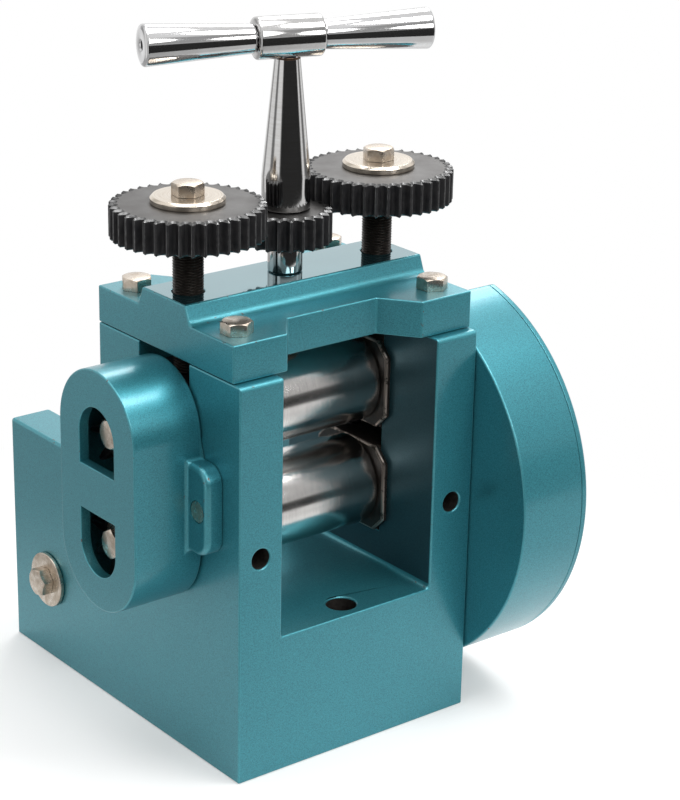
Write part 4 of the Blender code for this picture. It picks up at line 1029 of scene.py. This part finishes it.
GEAR_Z0, GEAR_Z1 = span("left_screw_gear", "Z")
PINION_Z0, PINION_Z1 = span("pinion", "Z")
DRIVE_X0, DRIVE_X1 = span("drive_gear", "X")
ROLL_GEAR_X0, ROLL_GEAR_X1 = span("upper_roll_gear", "X")
DRIVE_TURN = radians(-12)

for side, way in SIDES:
    place = along("Z", (way * SCREW_X, 0, 0))
    keep(cut_gear(f"{side}_pressing_gear", place, 40, *radii(SCREW_X, 40, 24), 0.60, 0.21, pi / 40, 0.0058,
                  GEAR_Z0, GEAR_Z1, 0.0008, 0.0006), f"{side}_screw", "black_oxide", f"{side}_screw_gear")
keep(cut_gear("handle_pinion", None, 24, *radii(SCREW_X, 24, 40), 0.60, 0.21, 0, 0.0063, PINION_Z0, PINION_Z1,
              0.0008, 0.0006), "handle", "black_oxide", "pinion")
centres = hypot(DRIVE.y, DRIVE.z - LOWER_Z)
keep(cut_gear("reduction_gear", DRUM_AXIS, 56, *radii(centres, 56, 14), 0.60, 0.21, DRIVE_TURN,
              0.0093, DRIVE_X0, DRIVE_X1), "lower_roll", "black_oxide", "drive_gear")
keep(cut_gear("reduction_pinion", AT_DRIVE, 14, *radii(centres, 14, 56), 0.60, 0.21,
              DRIVE_TURN + pi + pi / 14, 0.0073, DRIVE_X0, DRIVE_X1), "crank_shaft", "black_oxide", "drive_pinion")
for name, z, turn_by in (("lower", LOWER_Z, pi / 2), ("upper", UPPER_Z, -pi / 2 + pi / 12)):
    keep(cut_gear(f"{name}_long_gear", along("X", (0, 0, z)), 12, 0.0162, 0.0264, 0.50, 0.16, turn_by, 0.0083,
                  ROLL_GEAR_X0, ROLL_GEAR_X1, 0.0006), f"{name}_roll", "black_oxide", f"{name}_roll_gear")
print("seven gears,", sum(len(piece.data.polygons) for piece in PIECES[-7:]), "faces")

# %% [markdown]
# ## Pressing screws
# Turning the handle drives both screws down on the blocks. Their thread is a fine one, M14 with a pitch of
# 1.25 mm. A wave that depends on the height and the angle together makes a true helix, and the last rows
# narrow to the seat of the gear, with the hole for its bolt.

# %% Thread tree
THREAD_STEPS, PER_PITCH = 40, 8
thread, given, result = new_group(
    "threaded_shaft", "GeometryNodeTree",
    [("Radius", "Float", 0.0068), ("Depth", "Float", 0.0007), ("Pitch", "Float", 0.00125), ("Low", "Float", 0.0),
     ("High", "Float", 0.05), ("Seat radius", "Float", 0.0055), ("Seat end", "Float", 0.06),
     ("Hole radius", "Float", 0.0043), ("Hole depth", "Float", 0.014), ("Finish", "Material", None)],
    [("Shaft", "Geometry")],
)
length = thread.minus(given["High"], given["Low"])
count = thread.math("ROUND", thread.times(thread.over(length, given["Pitch"]), PER_PITCH))
grid, column, row = rows_and_columns(thread, THREAD_STEPS + 1, thread.plus(count, 8))
angle = thread.times(column, 2 * pi / THREAD_STEPS)
up = thread.over(thread.minus(row, 1), count)
height = thread.times_plus(thread.held(up, 0, 1), length, given["Low"])
phase = thread.minus(thread.over(height, given["Pitch"]), thread.over(angle, 2 * pi))
wave = thread.math("PINGPONG", phase, 0.5)
wave = thread.held(thread.times_plus(wave, 2.6, -0.15), 0, 1)
crest = thread.times_plus(wave, thread.times(given["Depth"], -1), given["Radius"])
after = thread.held(thread.minus(row, thread.plus(count, 1)), 0, 6)
hole_floor = thread.minus(given["Seat end"], given["Hole depth"])
radius = table(thread, after, [crest, *[given["Seat radius"]] * 2, *[given["Hole radius"]] * 2, 0, 0])
height = table(thread, after, [height, given["High"], *[given["Seat end"]] * 2, *[hole_floor] * 3])
radius = thread.times(radius, thread.above(row, 0.5))
solid = rolled_up(thread, grid, radius, angle, height)
thread.feed(result[0], finished(thread, solid, given["Finish"]))
THREAD_TREE = thread.tree

# %% Both screws
SCREW_LOW, SCREW_END = span("left_screw", "Z")
for side, way in SIDES:
    screw = grown(f"{side}_pressing_screw", THREAD_TREE, {
        "Low": SCREW_LOW, "High": GEAR_Z0 - GAP, "Seat end": SCREW_END, "Finish": THREAD_BLACK,
    }, along("Z", (way * SCREW_X, 0, 0)))
    keep(shade(screw, 50), f"{side}_screw", "black_oxide", f"{side}_screw")
print("each screw:", len(screw.data.polygons), "faces,", round((GEAR_Z0 - SCREW_LOW) * 1000, 1), "mm of thread")

# %% [markdown]
# ## Springs between the blocks
# Four coil springs carry the upper roll. When the screws press it down the coils close up.

# %% Spring tree
spring, given, result = new_group(
    "coil_spring", "GeometryNodeTree",
    [("Radius", "Float", 0.0029), ("Wire", "Float", 0.00055), ("Turns", "Float", 6.0), ("Height", "Float", 0.02),
     ("Finish", "Material", None)],
    [("Spring", "Geometry")],
)
spiral = spring.add("GeometryNodeCurveSpiral")
for label, value in (("Resolution", 24), ("Rotations", given["Turns"]), ("Start Radius", given["Radius"]),
                     ("End Radius", given["Radius"]), ("Height", given["Height"])):
    spring.feed(spiral.inputs[label], value)
wire = spring.add("GeometryNodeCurvePrimitiveCircle")
spring.feed(wire.inputs["Resolution"], 12)
spring.feed(wire.inputs["Radius"], given["Wire"])
coil = spring.add("GeometryNodeCurveToMesh", spiral.outputs[0], wire.outputs[0])
coil.inputs["Fill Caps"].default_value = True
solid = spring.add("GeometryNodeRealizeInstances", coil.outputs[0]).outputs[0]
spring.feed(result[0], finished(spring, solid, given["Finish"]))

# %% Four springs
SPRING_Y = abs(middle("lift_spring_left_front").y)
COIL_LOW, COIL_HIGH = span("lift_spring_left_front", "Z")
length = COIL_HIGH - COIL_LOW
for side, way in SIDES:
    for end, y_way in ENDS:
        coil = grown(f"spring_{side}_{end}", spring.tree, {
            "Height": length - 0.0012, "Finish": SPRING_STEEL,
        }, along("Z", (way * SCREW_X, y_way * SPRING_Y, COIL_LOW + 0.0006)))
        shade(coil, 60)
        keep(coil, "root", "spring_steel", f"lift_spring_{side}_{end}")
        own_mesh(coil)

# %% [markdown]
# ## Bolts and screws
# A hexagon head is a six-sided prism trimmed by a flat cone, which leaves the curved edges that every bolt
# head has. Where the same bolt stands in several places, one tree puts it on points and turns each copy by
# its own angle, as a spanner leaves them.


# %% One hexagon bolt
def hexagon_bolt(name, place, seat, end, *finishes, twist=0.0):
    """Its head stands on seat and its shank reaches to end, both along the place's local Z."""
    place = (place or Matrix()) @ Matrix.Translation((0, 0, seat)) @ (Matrix() if seat > end else FLIP)
    height = 0.0053
    hexagon = [(*corner, 0.0006) for corner in six_sided(0.0072, twist)]
    bolt = prism(name, eased(hexagon, 3, True), -0.0002, height, None, *finishes)
    cone = [(0.0073, -0.001), (0.0073, height - 0.0009), (0.0062, height - 0.0001, 0.0006), (0.0052, height + 0.0002)]
    shape_with(bolt, "INTERSECT", solid_turned("cone", cone, None, steps=72))
    shape_with(bolt, "UNION", prism("shank", circle(0.004), -abs(end - seat), 0.001))
    bolt.data.transform(place)
    return shade(bolt, 24)


def round_head_screw(name, place, seat, end, head, shank, height, *finishes, socket=0.0, dome=0.0006):
    """A round head on seat with a hexagon socket, its shank down to end."""
    profile = [(head, seat + height, dome), (head, seat, 0.0002), (shank, seat), (shank, end, 0.0004)]
    screw = solid_turned(name, profile, place, *finishes)
    if socket:
        top = seat + height
        depth = sorted((top - height * 0.6, top + height))
        shape_with(screw, "DIFFERENCE", prism("key", six_sided(socket), *depth, place))
    return shade(screw)


# %% Fasteners on points
fasten, given, result = new_group(
    "fasteners_on_points", "GeometryNodeTree",
    [("Points", "Geometry", None), ("Fastener", "Object", None), ("Most twist", "Float", 1.0), ("Seed", "Int", 3),
     ("Finish", "Material", None)],
    [("Fasteners", "Geometry")],
)
shape = fasten.add("GeometryNodeObjectInfo")
fasten.feed(shape.inputs["Object"], given["Fastener"])
fasten.feed(shape.inputs["As Instance"], True)
chance = fasten.add("FunctionNodeRandomValue", data_type="FLOAT")
for position, value in ((2, 0.0), (3, given["Most twist"]), (8, given["Seed"])):
    fasten.feed(chance.inputs[position], value)
twists = fasten.add("ShaderNodeCombineXYZ", 0, 0, chance.outputs[1]).outputs[0]
copies = fasten.add("GeometryNodeInstanceOnPoints", given["Points"])
fasten.feed(copies.inputs["Instance"], shape.outputs["Geometry"])
fasten.feed(copies.inputs["Rotation"], twists)
solid = fasten.add("GeometryNodeRealizeInstances", copies.outputs[0]).outputs[0]
fasten.feed(result[0], finished(fasten, solid, given["Finish"]))


def fasteners(name, template, points, finish, seed, place=None):
    obj = grown(name, fasten.tree, {"Fastener": template, "Most twist": pi / 3, "Seed": seed, "Finish": finish},
                place, points)
    bpy.data.objects.remove(template, do_unlink=True)
    return shade(obj)


# %% Cap bolts, drum lid screws and the rest
corners = [(way * CAP_BOLT.x, y_way * CAP_BOLT.y, LEDGE_Z + GAP) for _, way in SIDES for _, y_way in ENDS]
bolt = hexagon_bolt("bolt", None, 0, -0.0350, BOLT_NICKEL)
keep(fasteners("cap_bolts", bolt, corners, BOLT_NICKEL, 5), "root", "nickel_plate",
     *(f"cap_bolt_{side}_{end}" for side, _ in SIDES for end, _ in ENDS))
ring_points = [(LID_RING * cos(turn), LID_RING * sin(turn), LID_X1 + GAP) for turn in LID_TURNS]
small = round_head_screw("small", None, 0, -0.0095, 0.0038, 0.002, 0.002, BOLT_NICKEL, socket=0.0014, dome=0.0009)
keep(fasteners("lid_screws", small, ring_points, BOLT_NICKEL, 9, DRUM_AXIS), "root", "nickel_plate")

for side, way in SIDES:
    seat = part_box(f"{side}_screw_washer")[1].z + GAP
    bolt = hexagon_bolt(f"{side}_gear_bolt", along("Z", (way * SCREW_X, 0, 0)), seat, seat - 0.0185, BOLT_NICKEL,
                        twist=0.35 if way < 0 else 0.1)
    keep(bolt, f"{side}_screw", "nickel_plate", f"{side}_screw_bolt")
    washer_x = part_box(f"tie_washer_{side}")[0 if way < 0 else 1].x + way * 0.0003
    tie_bolt = hexagon_bolt(f"{side}_tie_bolt", AT_TIE, washer_x, way * 0.0300, BOLT_NICKEL,
                            twist=0.2)
    keep(tie_bolt, "root", "nickel_plate", f"tie_bolt_{side}")
for name, z, twist in (("lower", LOWER_Z, 0.5), ("upper", UPPER_Z, 0.15)):
    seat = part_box(f"{name}_roll_gear_washer")[0].x - GAP
    bolt = hexagon_bolt(f"{name}_roll_bolt", along("X", (0, 0, z)), seat, seat + 0.0167, BOLT_NICKEL, twist=twist)
    keep(bolt, f"{name}_roll", "nickel_plate", f"{name}_roll_gear_bolt")
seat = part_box("drive_gear_washer")[1].x + GAP
keep(hexagon_bolt("reduction_bolt", DRUM_AXIS, seat, seat - 0.0165, BOLT_NICKEL),
     "lower_roll", "nickel_plate", "drive_gear_bolt")

for end, y_way in ENDS:
    place = along("X", (-SIDE_X, y_way * LUG_SCREW.y, LUG_SCREW.z)) @ FLIP
    keep(round_head_screw(f"ear_screw_{end}", place, 0.0043, -0.0117, 0.0049, 0.003, 0.0037, BOLT_NICKEL,
                          socket=0.0, dome=0.0005), "root", "nickel_plate", f"cover_screw_{end}")
for number, (y, z) in enumerate(PAN_SCREWS, 1):
    keep(round_head_screw(f"pan_screw_{number}", along("X", (0, y, z)), DRUM_FLOOR + GAP, 0.0533, 0.0049, 0.003,
                          0.002, BOLT_NICKEL, socket=0.002), "root", "nickel_plate", f"drum_screw_{number}")
print("bolts and screws done:", len(PIECES), "pieces so far")

# %% [markdown]
# ## Washers, bushes and collars
# These are rings, turned from a four-cornered profile whose corners are eased. The washers under the screws'
# bolts have a wide bevel that shows as a bright line.


# %% Rings
def ring_piece(name, axis, centre, outer, inner, low, high, finish, ease=0.0003, bevel=0.0):
    top = [(outer - bevel, high, ease), (outer, high - bevel, ease)] if bevel else [(outer, high, ease)]
    profile = [(inner, low, ease * 0.7), (outer, low, ease), *reversed(top), (inner, high, ease * 0.7)]
    return shade(turned(name, profile, along(axis, centre), finish, steps=96, ring=True), 35)


def washer(node, body, name, centre, outer, ease=0.0003):
    low, high = span(node, "X")
    keep(ring_piece(name, "X", centre, outer, BOLT_HOLE, low, high, BOLT_NICKEL, ease), body, "nickel_plate", node)


def bush(node, body, name, centre, outer, inner):
    low, high = span(node, "X")
    keep(ring_piece(name, "X", centre, outer, inner, low, high, BRONZE, 0.0004), body, "bearing_bronze", node)


for side, way in SIDES:
    low, high = span(f"{side}_screw_washer", "Z")
    nickel = turned_metal(f"nickel_plate_{side}", (0.80, 0.74, 0.65), (0.66, 0.57, 0.47), 0.15,
                          (way * SCREW_X, 0, 0), mark=0.0004, depth=0.1)
    disc = ring_piece(f"{side}_gear_washer", "Z", (way * SCREW_X, 0, 0), 0.0162, BOLT_HOLE, low - 0.0002, high, nickel,
                      0.0002, 0.0011)
    keep(disc, f"{side}_screw", "nickel_plate", f"{side}_screw_washer")
    washer(f"tie_washer_{side}", "root", f"{side}_tie_washer", (0, TIE.y, TIE.z), 0.0134, 0.0004)
for name, z, body in (("lower", LOWER_Z, "root"), ("upper", UPPER_Z, "carriage")):
    washer(f"{name}_roll_gear_washer", f"{name}_roll", f"{name}_roll_washer", (0, 0, z), 0.011)
    for side, _ in SIDES:
        bush(f"{name}_bush_{side}", body, f"{name}_bearing_{side}", (0, 0, z), 0.0134, 0.0104)
washer("drive_gear_washer", "lower_roll", "reduction_washer", (0, 0, LOWER_Z), 0.011)
low, high = span("handle_collar", "Z")
collar = ring_piece("chrome_collar", "Z", (0, 0, 0), 0.0078, 0.0063, low, high, POST_CHROME, 0.0006)
keep(collar, "handle", "chrome", "handle_collar")
bearing = ring_piece("cap_bearing", "Z", (0, 0, 0), 0.0094, 0.0064, CAP_Z, RIDGE_Z - 0.0015, BRONZE, 0.0004)
keep(bearing, "root", "bearing_bronze", "spindle_bush")
bush("shaft_bush_inner", "root", "leg_bearing", (0, DRIVE.y, DRIVE.z), 0.0104, 0.0074)
low, high = span("shaft_bush_outer", "X")
flanged = [(0.0134, high - 0.003, 0.0004), (0.0134, high, 0.0008), (0.0074, high, 0.0004), (0.0074, low),
           (0.0104, low, 0.0004), (0.0104, high - 0.003)]
bearing = turned("lid_bearing", flanged, AT_DRIVE, BRONZE, steps=96, ring=True)
keep(shade(bearing, 35), "root", "bearing_bronze", "shaft_bush_outer")
print("rings done:", len(PIECES), "pieces so far")

# %% [markdown]
# ## Rolls and shafts
# Each roll is turned and ground in one piece with its journals, hardened and polished. The lower one goes on
# into the drum and carries the reduction gear. Both have a tapped hole in the end for the gear's bolt.


# %% Turned steel
def mill_roll(name, z, drive_end):
    half = 0.0390
    hole = BOLT_HOLE
    end_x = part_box(f"{name}_roll")[0].x
    right = [(hole, DRIVE_X1 - 0.016), (hole, DRIVE_X1 - GAP), *drive_end] if len(drive_end) > 1 else drive_end
    profile = [
        *right, (0.010, half), (0.0195, half, 0.0003), (0.0215, half, 0.0009), (0.0215, -half, 0.0009),
        (0.0195, -half, 0.0003), (0.010, -half), (0.010, -0.0670), (0.008, -0.0670), (0.008, end_x, 0.0003),
        (hole, end_x), (hole, end_x + 0.016),
    ]
    roll = solid_turned(f"{name}_polished_roll", profile, along("X", (0, 0, z)), ROLL_STEEL[name], steps=160)
    return shade(roll, 40)


keep(mill_roll("lower", LOWER_Z, [(0.009, DRIVE_X1 - GAP, 0.0003), (0.009, DRIVE_X0 - GAP),
                                  (0.010, DRIVE_X0 - GAP)]), "lower_roll", "polished_steel", "lower_roll")
keep(mill_roll("upper", UPPER_Z, [(0.010, SIDE_X - GAP, 0.0006)]), "upper_roll", "polished_steel", "upper_roll")

shaft_low, shaft_high = span("crank_shaft", "X")
shoulder = shaft_high - 0.0172
axis = AT_DRIVE
shaft = solid_turned("driving_shaft", [(0.007, shaft_low, 0.0005), (0.007, shoulder, 0.0004)], axis, MACHINED)
key = eased([(0.005, 0.005, 0.0006), (-0.005, 0.005, 0.0006), (-0.005, -0.005, 0.0006), (0.005, -0.005, 0.0006)],
            3, True)
square = prism("square", key, shoulder - 0.001, shaft_high, axis)
shape_with(square, "INTERSECT", solid_turned("cone", [
    (0.009, shoulder - 0.002), (0.009, shaft_high - 0.0022), (0.0058, shaft_high + 0.0005)], axis))
shape_with(shaft, "UNION", square)
keep(shade(shaft), "crank_shaft", "machined_steel", "crank_shaft")

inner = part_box("rear_tie_rod")[1].x
rod_profile = [(0.0043, inner - 0.015), (0.0043, inner), (0.006, inner, 0.0005), (0.006, -inner, 0.0005),
               (0.0043, -inner), (0.0043, 0.015 - inner)]
keep(shade(solid_turned("tie_rod", rod_profile, AT_TIE, TIE_STEEL)), "root", "machined_steel",
     "rear_tie_rod")
print("rolls and shafts done:", len(PIECES), "pieces so far")

# %% [markdown]
# ## Bearing blocks
# Black iron blocks slide in the slots. Each has an eight-sided flange on the inside of its cheek, a bore for
# the bush and pockets for the springs. Their edges are rubbed to bare metal.


# %% Four blocks
def mill_block(name, node, way, z, spring_side, body):
    half_y, half_z = 0.0187, 0.021
    wide, cut = half_y + 0.0058, 0.007
    block_outline = [(half_y, half_z), (-half_y, half_z), (-half_y, -half_z), (half_y, -half_z)]
    flange = [(wide, half_z - cut), (wide - cut, half_z), (cut - wide, half_z), (-wide, half_z - cut),
              (-wide, cut - half_z), (cut - wide, -half_z), (wide - cut, -half_z), (wide, cut - half_z)]
    wall = CHEEK_X - GAP
    inner_face = wall - 0.0025
    place = along("X", (0, 0, z))
    block = prism(name, block_outline, *sorted((way * (wall - 0.0001), way * (SIDE_X - GAP))), place, BLACK_IRON,
                  BLACK_IRON_EDGE)
    plate = prism("flange", flange, *sorted((way * inner_face, way * wall)), place)
    shape_with(block, "UNION", plate)
    face = spring_side * half_z
    pocket = sorted((face - spring_side * 0.006, face + spring_side * 0.001))
    drill(block, (place, 0.0137, -0.07, 0.07),
          *((along("Z", (way * SCREW_X, y, z)), 0.00375, *pocket) for y in (-SPRING_Y, SPRING_Y)))

    def rule(spot, step, convex):
        if not convex or hypot(spot.y, spot.z - z) < 0.015 or abs(step.x) > 0.9:
            return 0.0
        return 0.0012 if abs(abs(spot.x) - inner_face) < 0.0005 else 0.0003

    round_edges(block, rule, [("Z", z), ("Y", SPRING_Y), ("Y", -SPRING_Y)])
    return keep(block, body, "black_iron", node)


for side, way in SIDES:
    mill_block(f"lower_slider_{side}", f"lower_block_{side}", way, LOWER_Z, 1, "root")
    mill_block(f"upper_slider_{side}", f"upper_block_{side}", way, UPPER_Z, -1, "carriage")
print("blocks done:", len(PIECES), "pieces so far")

# %% [markdown]
# ## The T-handle
# A tapered post stands on the spindle, with a short sleeve brazed across its top. Two bars are pressed into
# the sleeve. They grow thicker outwards and have a small centre hole in the end, from the lathe. Everything is
# polished and chromed. The bead of braze under the sleeve is a ring of its own.

# %% Post and sleeve
BAR_Z = middle("tee_grip_left").z
YAW = radians(-17.5)
ACROSS = Matrix.Translation((0, 0, BAR_Z)) @ Matrix.Rotation(YAW, 4, "Z") @ along("X")
NUT_LOW, NUT_HIGH = span("spindle_nut", "Z")
POST_Z = PINION_Z1 + GAP
POST_CONE = POST_Z + 0.0145
SPINDLE_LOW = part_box("tee_post")[0].z
SLEEVE = 0.0149
BAR_HALF = 0.0650

post_profile = [
    (0.006, SPINDLE_LOW, 0.0006), (0.006, POST_Z), (0.0108, POST_Z, 0.0011), (0.0108, POST_CONE, 0.0006),
    (0.0057, POST_Z + 0.066), (0.0057, BAR_Z - 0.0041),
]
post = solid_turned("chrome_post", post_profile, None, POST_CHROME, steps=128)
sleeve_profile = [(0.0092, -SLEEVE, 0.0013), (0.0092, SLEEVE, 0.0013), (0.0041, SLEEVE, 0.0004),
                  (0.0041, -SLEEVE, 0.0004)]
sleeve = turned("sleeve", sleeve_profile, ACROSS, steps=96, ring=True)
shape_with(post, "UNION", sleeve)
shade(post, 35)
keep(post, "handle", "chrome", "tee_post")

bead = turned("braze_bead", [(0.0051, POST_Z + 0.0655), (0.0057, POST_Z + 0.0660), (0.0058, POST_Z + 0.0668),
                             (0.0053, POST_Z + 0.0676), (0.0049, POST_Z + 0.0676)], None, BRAZE, steps=64, ring=True)
keep(shade(bead, 80), "handle", "chrome")

# %% Grips and nut
near, far = SLEEVE + GAP, BAR_HALF
grip_profile = [
    (0.0038, GAP), (0.0038, near), (0.0056, near, 0.0004), (0.0064, near + 0.0009, 0.001),
    (0.0091, far - 0.0005, 0.0022), (0.0070, far, 0.0008), (0.0029, far, 0.0002), (0.00215, far - 0.0007),
    (0.00215, far - 0.008),
]
for side, place in (("right", ACROSS), ("left", ACROSS @ FLIP)):
    grip = solid_turned(f"chrome_grip_{side}", grip_profile, place, GRIP_CHROME, steps=96)
    keep(shade(grip, 35), "handle", "chrome", f"tee_grip_{side}")

nut = prism("hexagon_nut", six_sided(0.0098), NUT_LOW, NUT_HIGH, None, BOLT_NICKEL)
shape_with(nut, "INTERSECT", solid_turned("cone", [(0.0085, NUT_LOW - 0.0001), (0.0098, NUT_LOW + 0.0009),
                                                   (0.0098, NUT_HIGH - 0.0009), (0.0085, NUT_HIGH + 0.0001)], None))
drill(nut, (None, 0.0063, NUT_LOW - 0.001, NUT_HIGH + 0.001))
keep(shade(nut), "handle", "nickel_plate", "spindle_nut")
print("handle done:", len(PIECES), "pieces in all")

# %% [markdown]
# ## Floor, light and camera
# The mill stands on a pale floor in soft light from all round. A bright surround is what polished metal needs,
# but it also needs something dark to mirror, as the room behind a camera does. So reflections see a dark band
# near the horizon, while the floor and the walls stay white to the eye. The key light is high up behind the
# right side, so the shadow falls softly forward and to the left. Four weaker lamps fill in, one from overhead
# and three from the front.

# %% Floor
FLOOR_MIDDLE, FLOOR_RADIUS = (0.14, 0.18), 0.72
floor_mesh = bmesh.new()
bmesh.ops.create_circle(floor_mesh, cap_ends=True, radius=FLOOR_RADIUS, segments=128)
floor_mesh.transform(Matrix.Translation((*FLOOR_MIDDLE, -0.0002)))
floor_data = bpy.data.meshes.new("floor")
floor_mesh.to_mesh(floor_data)
floor_mesh.free()

floor_material = bpy.data.materials.new("pale_floor")
floor_material.use_nodes = True
graph = Graph(floor_material.node_tree)
floor_material.node_tree.nodes.remove(floor_material.node_tree.nodes["Principled BSDF"])
place = graph.add("ShaderNodeTexCoord").outputs["Object"]
x, y, _ = graph.add("ShaderNodeSeparateXYZ", place).outputs
away = graph.distance(graph.minus(x, 0.03), graph.minus(y, 0.05))
fade = graph.between(away, 0.10, 0.30, 0.25, 1.0, interpolation_type="SMOOTHSTEP")
paths = graph.add("ShaderNodeLightPath").outputs
glossy = graph.larger(paths["Is Glossy Ray"], paths["Is Transmission Ray"])
seen = graph.larger(paths["Is Camera Ray"], glossy)
dull = graph.add("ShaderNodeBsdfDiffuse", (0.90, 0.905, 0.90, 1))
mirrored_floor = graph.between(x, -0.1, 0.3, 0.5, 0.9)
glow = graph.add("ShaderNodeEmission", (1, 1, 1, 1), graph.larger(paths["Is Camera Ray"], mirrored_floor))
both = graph.add("ShaderNodeMixShader", graph.times(fade, seen), dull.outputs[0], glow.outputs[0])
graph.feed(floor_material.node_tree.nodes["Material Output"].inputs[0], both.outputs[0])
object_from("floor", floor_data, floor_material)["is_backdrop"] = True

# %% World
world = bpy.data.worlds.new("studio")
bpy.context.scene.world = world
world.use_nodes = True
graph = Graph(world.node_tree)
direction = graph.add("ShaderNodeTexCoord").outputs["Generated"]
x, y, z = graph.add("ShaderNodeSeparateXYZ", direction).outputs
elevation = graph.math("ARCSINE", z)
azimuth = graph.math("ARCTAN2", y, x)


def bump_between(value, low, high, soft):
    """One between low and high, nothing outside, soft at both ends (degrees)."""
    low, high, soft = radians(low), radians(high), radians(soft)
    rise = graph.between(value, low - soft, low + soft, 0, 1, interpolation_type="SMOOTHSTEP")
    fall = graph.between(value, high - soft, high + soft, 1, 0, interpolation_type="SMOOTHSTEP")
    return graph.times(rise, fall)


band = bump_between(elevation, -45, 9, 3)
ceiling = graph.times(bump_between(elevation, 9, 44, 5), 0.6)
behind_camera = bump_between(azimuth, -158, -44, 5)
others = graph.times(bump_between(azimuth, -30, -10, 5), 0.8)
for low, high, soft, share in ((18, 40, 6, 0.6), (92, 112, 6, 0.6), (150, 168, 5, 0.8)):
    others = graph.larger(others, graph.times(bump_between(azimuth, low, high, soft), share))
dark = graph.times(graph.larger(band, ceiling), graph.larger(behind_camera, others))
mirrored_level = graph.minus(1.0, graph.times(dark, 0.97))
paths = graph.add("ShaderNodeLightPath").outputs
glossy = graph.larger(paths["Is Glossy Ray"], paths["Is Transmission Ray"])
plain = graph.larger(paths["Is Camera Ray"], glossy)
level = graph.times_plus(plain, 0.3, 0.7)
level = graph.times(level, graph.times_plus(graph.minus(mirrored_level, 1.0), glossy, 1.0))
shine = world.node_tree.nodes["Background"]
graph.feed(shine.inputs["Strength"], level)
shine.inputs["Color"].default_value = (1, 1, 1, 1)


# %% Lamps
MILL_MIDDLE = Vector((0, 0, 0.12))
for name, place, size, energy in (
    ("key", (0.85, 0.75, 1.25), 0.8, 10), ("overhead", (-0.1, 0.1, 1.3), 0.9, 5),
    ("front", (-0.35, -1.15, 1.05), 0.7, 5), ("front_right", (0.3, -1.15, 0.75), 0.35, 2.5),
    ("forward", (0.38, -0.5, 1.25), 0.45, 7),
):
    light = bpy.data.lights.new(name, "AREA")
    light.shape = "DISK"
    light.size = size
    light.energy = energy
    obj = bpy.data.objects.new(name, light)
    bpy.context.scene.collection.objects.link(obj)
    obj.location = place
    obj.rotation_euler = (MILL_MIDDLE - Vector(place)).to_track_quat("-Z", "Y").to_euler()

# %% Camera
camera = bpy.data.objects.new("camera", bpy.data.cameras.new("camera"))
bpy.context.scene.collection.objects.link(camera)
camera.location = (-0.59364381, -0.77726535, 0.51516585)
camera.rotation_euler = (radians(69.15206), radians(-0.58175), radians(-36.99231))
camera.data.lens = 104.257
camera.data.sensor_width = 36
camera.data.shift_x = 0.0785
camera.data.shift_y = 0.01717
camera.data.dof.use_dof = False
bpy.context.scene.camera = camera
bpy.context.scene.view_settings.view_transform = "Standard"

# %% [markdown]
# ## Sizes and the end
# The imported model's box and the box of the looks are both printed. The looks have to stay inside
# the imported model's box.

# %% Measure and finish
low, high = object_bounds()
{"cad": [list(cad_low), list(cad_high)], "visual": [list(low), list(high)]}
print("packed box  ", [round(v * 1000, 1) for v in (*cad_low, *cad_high)])
print("visual box  ", [round(v * 1000, 1) for v in (*low, *high)])
print("pieces:", len(PIECES), " faces:", sum(len(piece.data.polygons) for piece in PIECES))
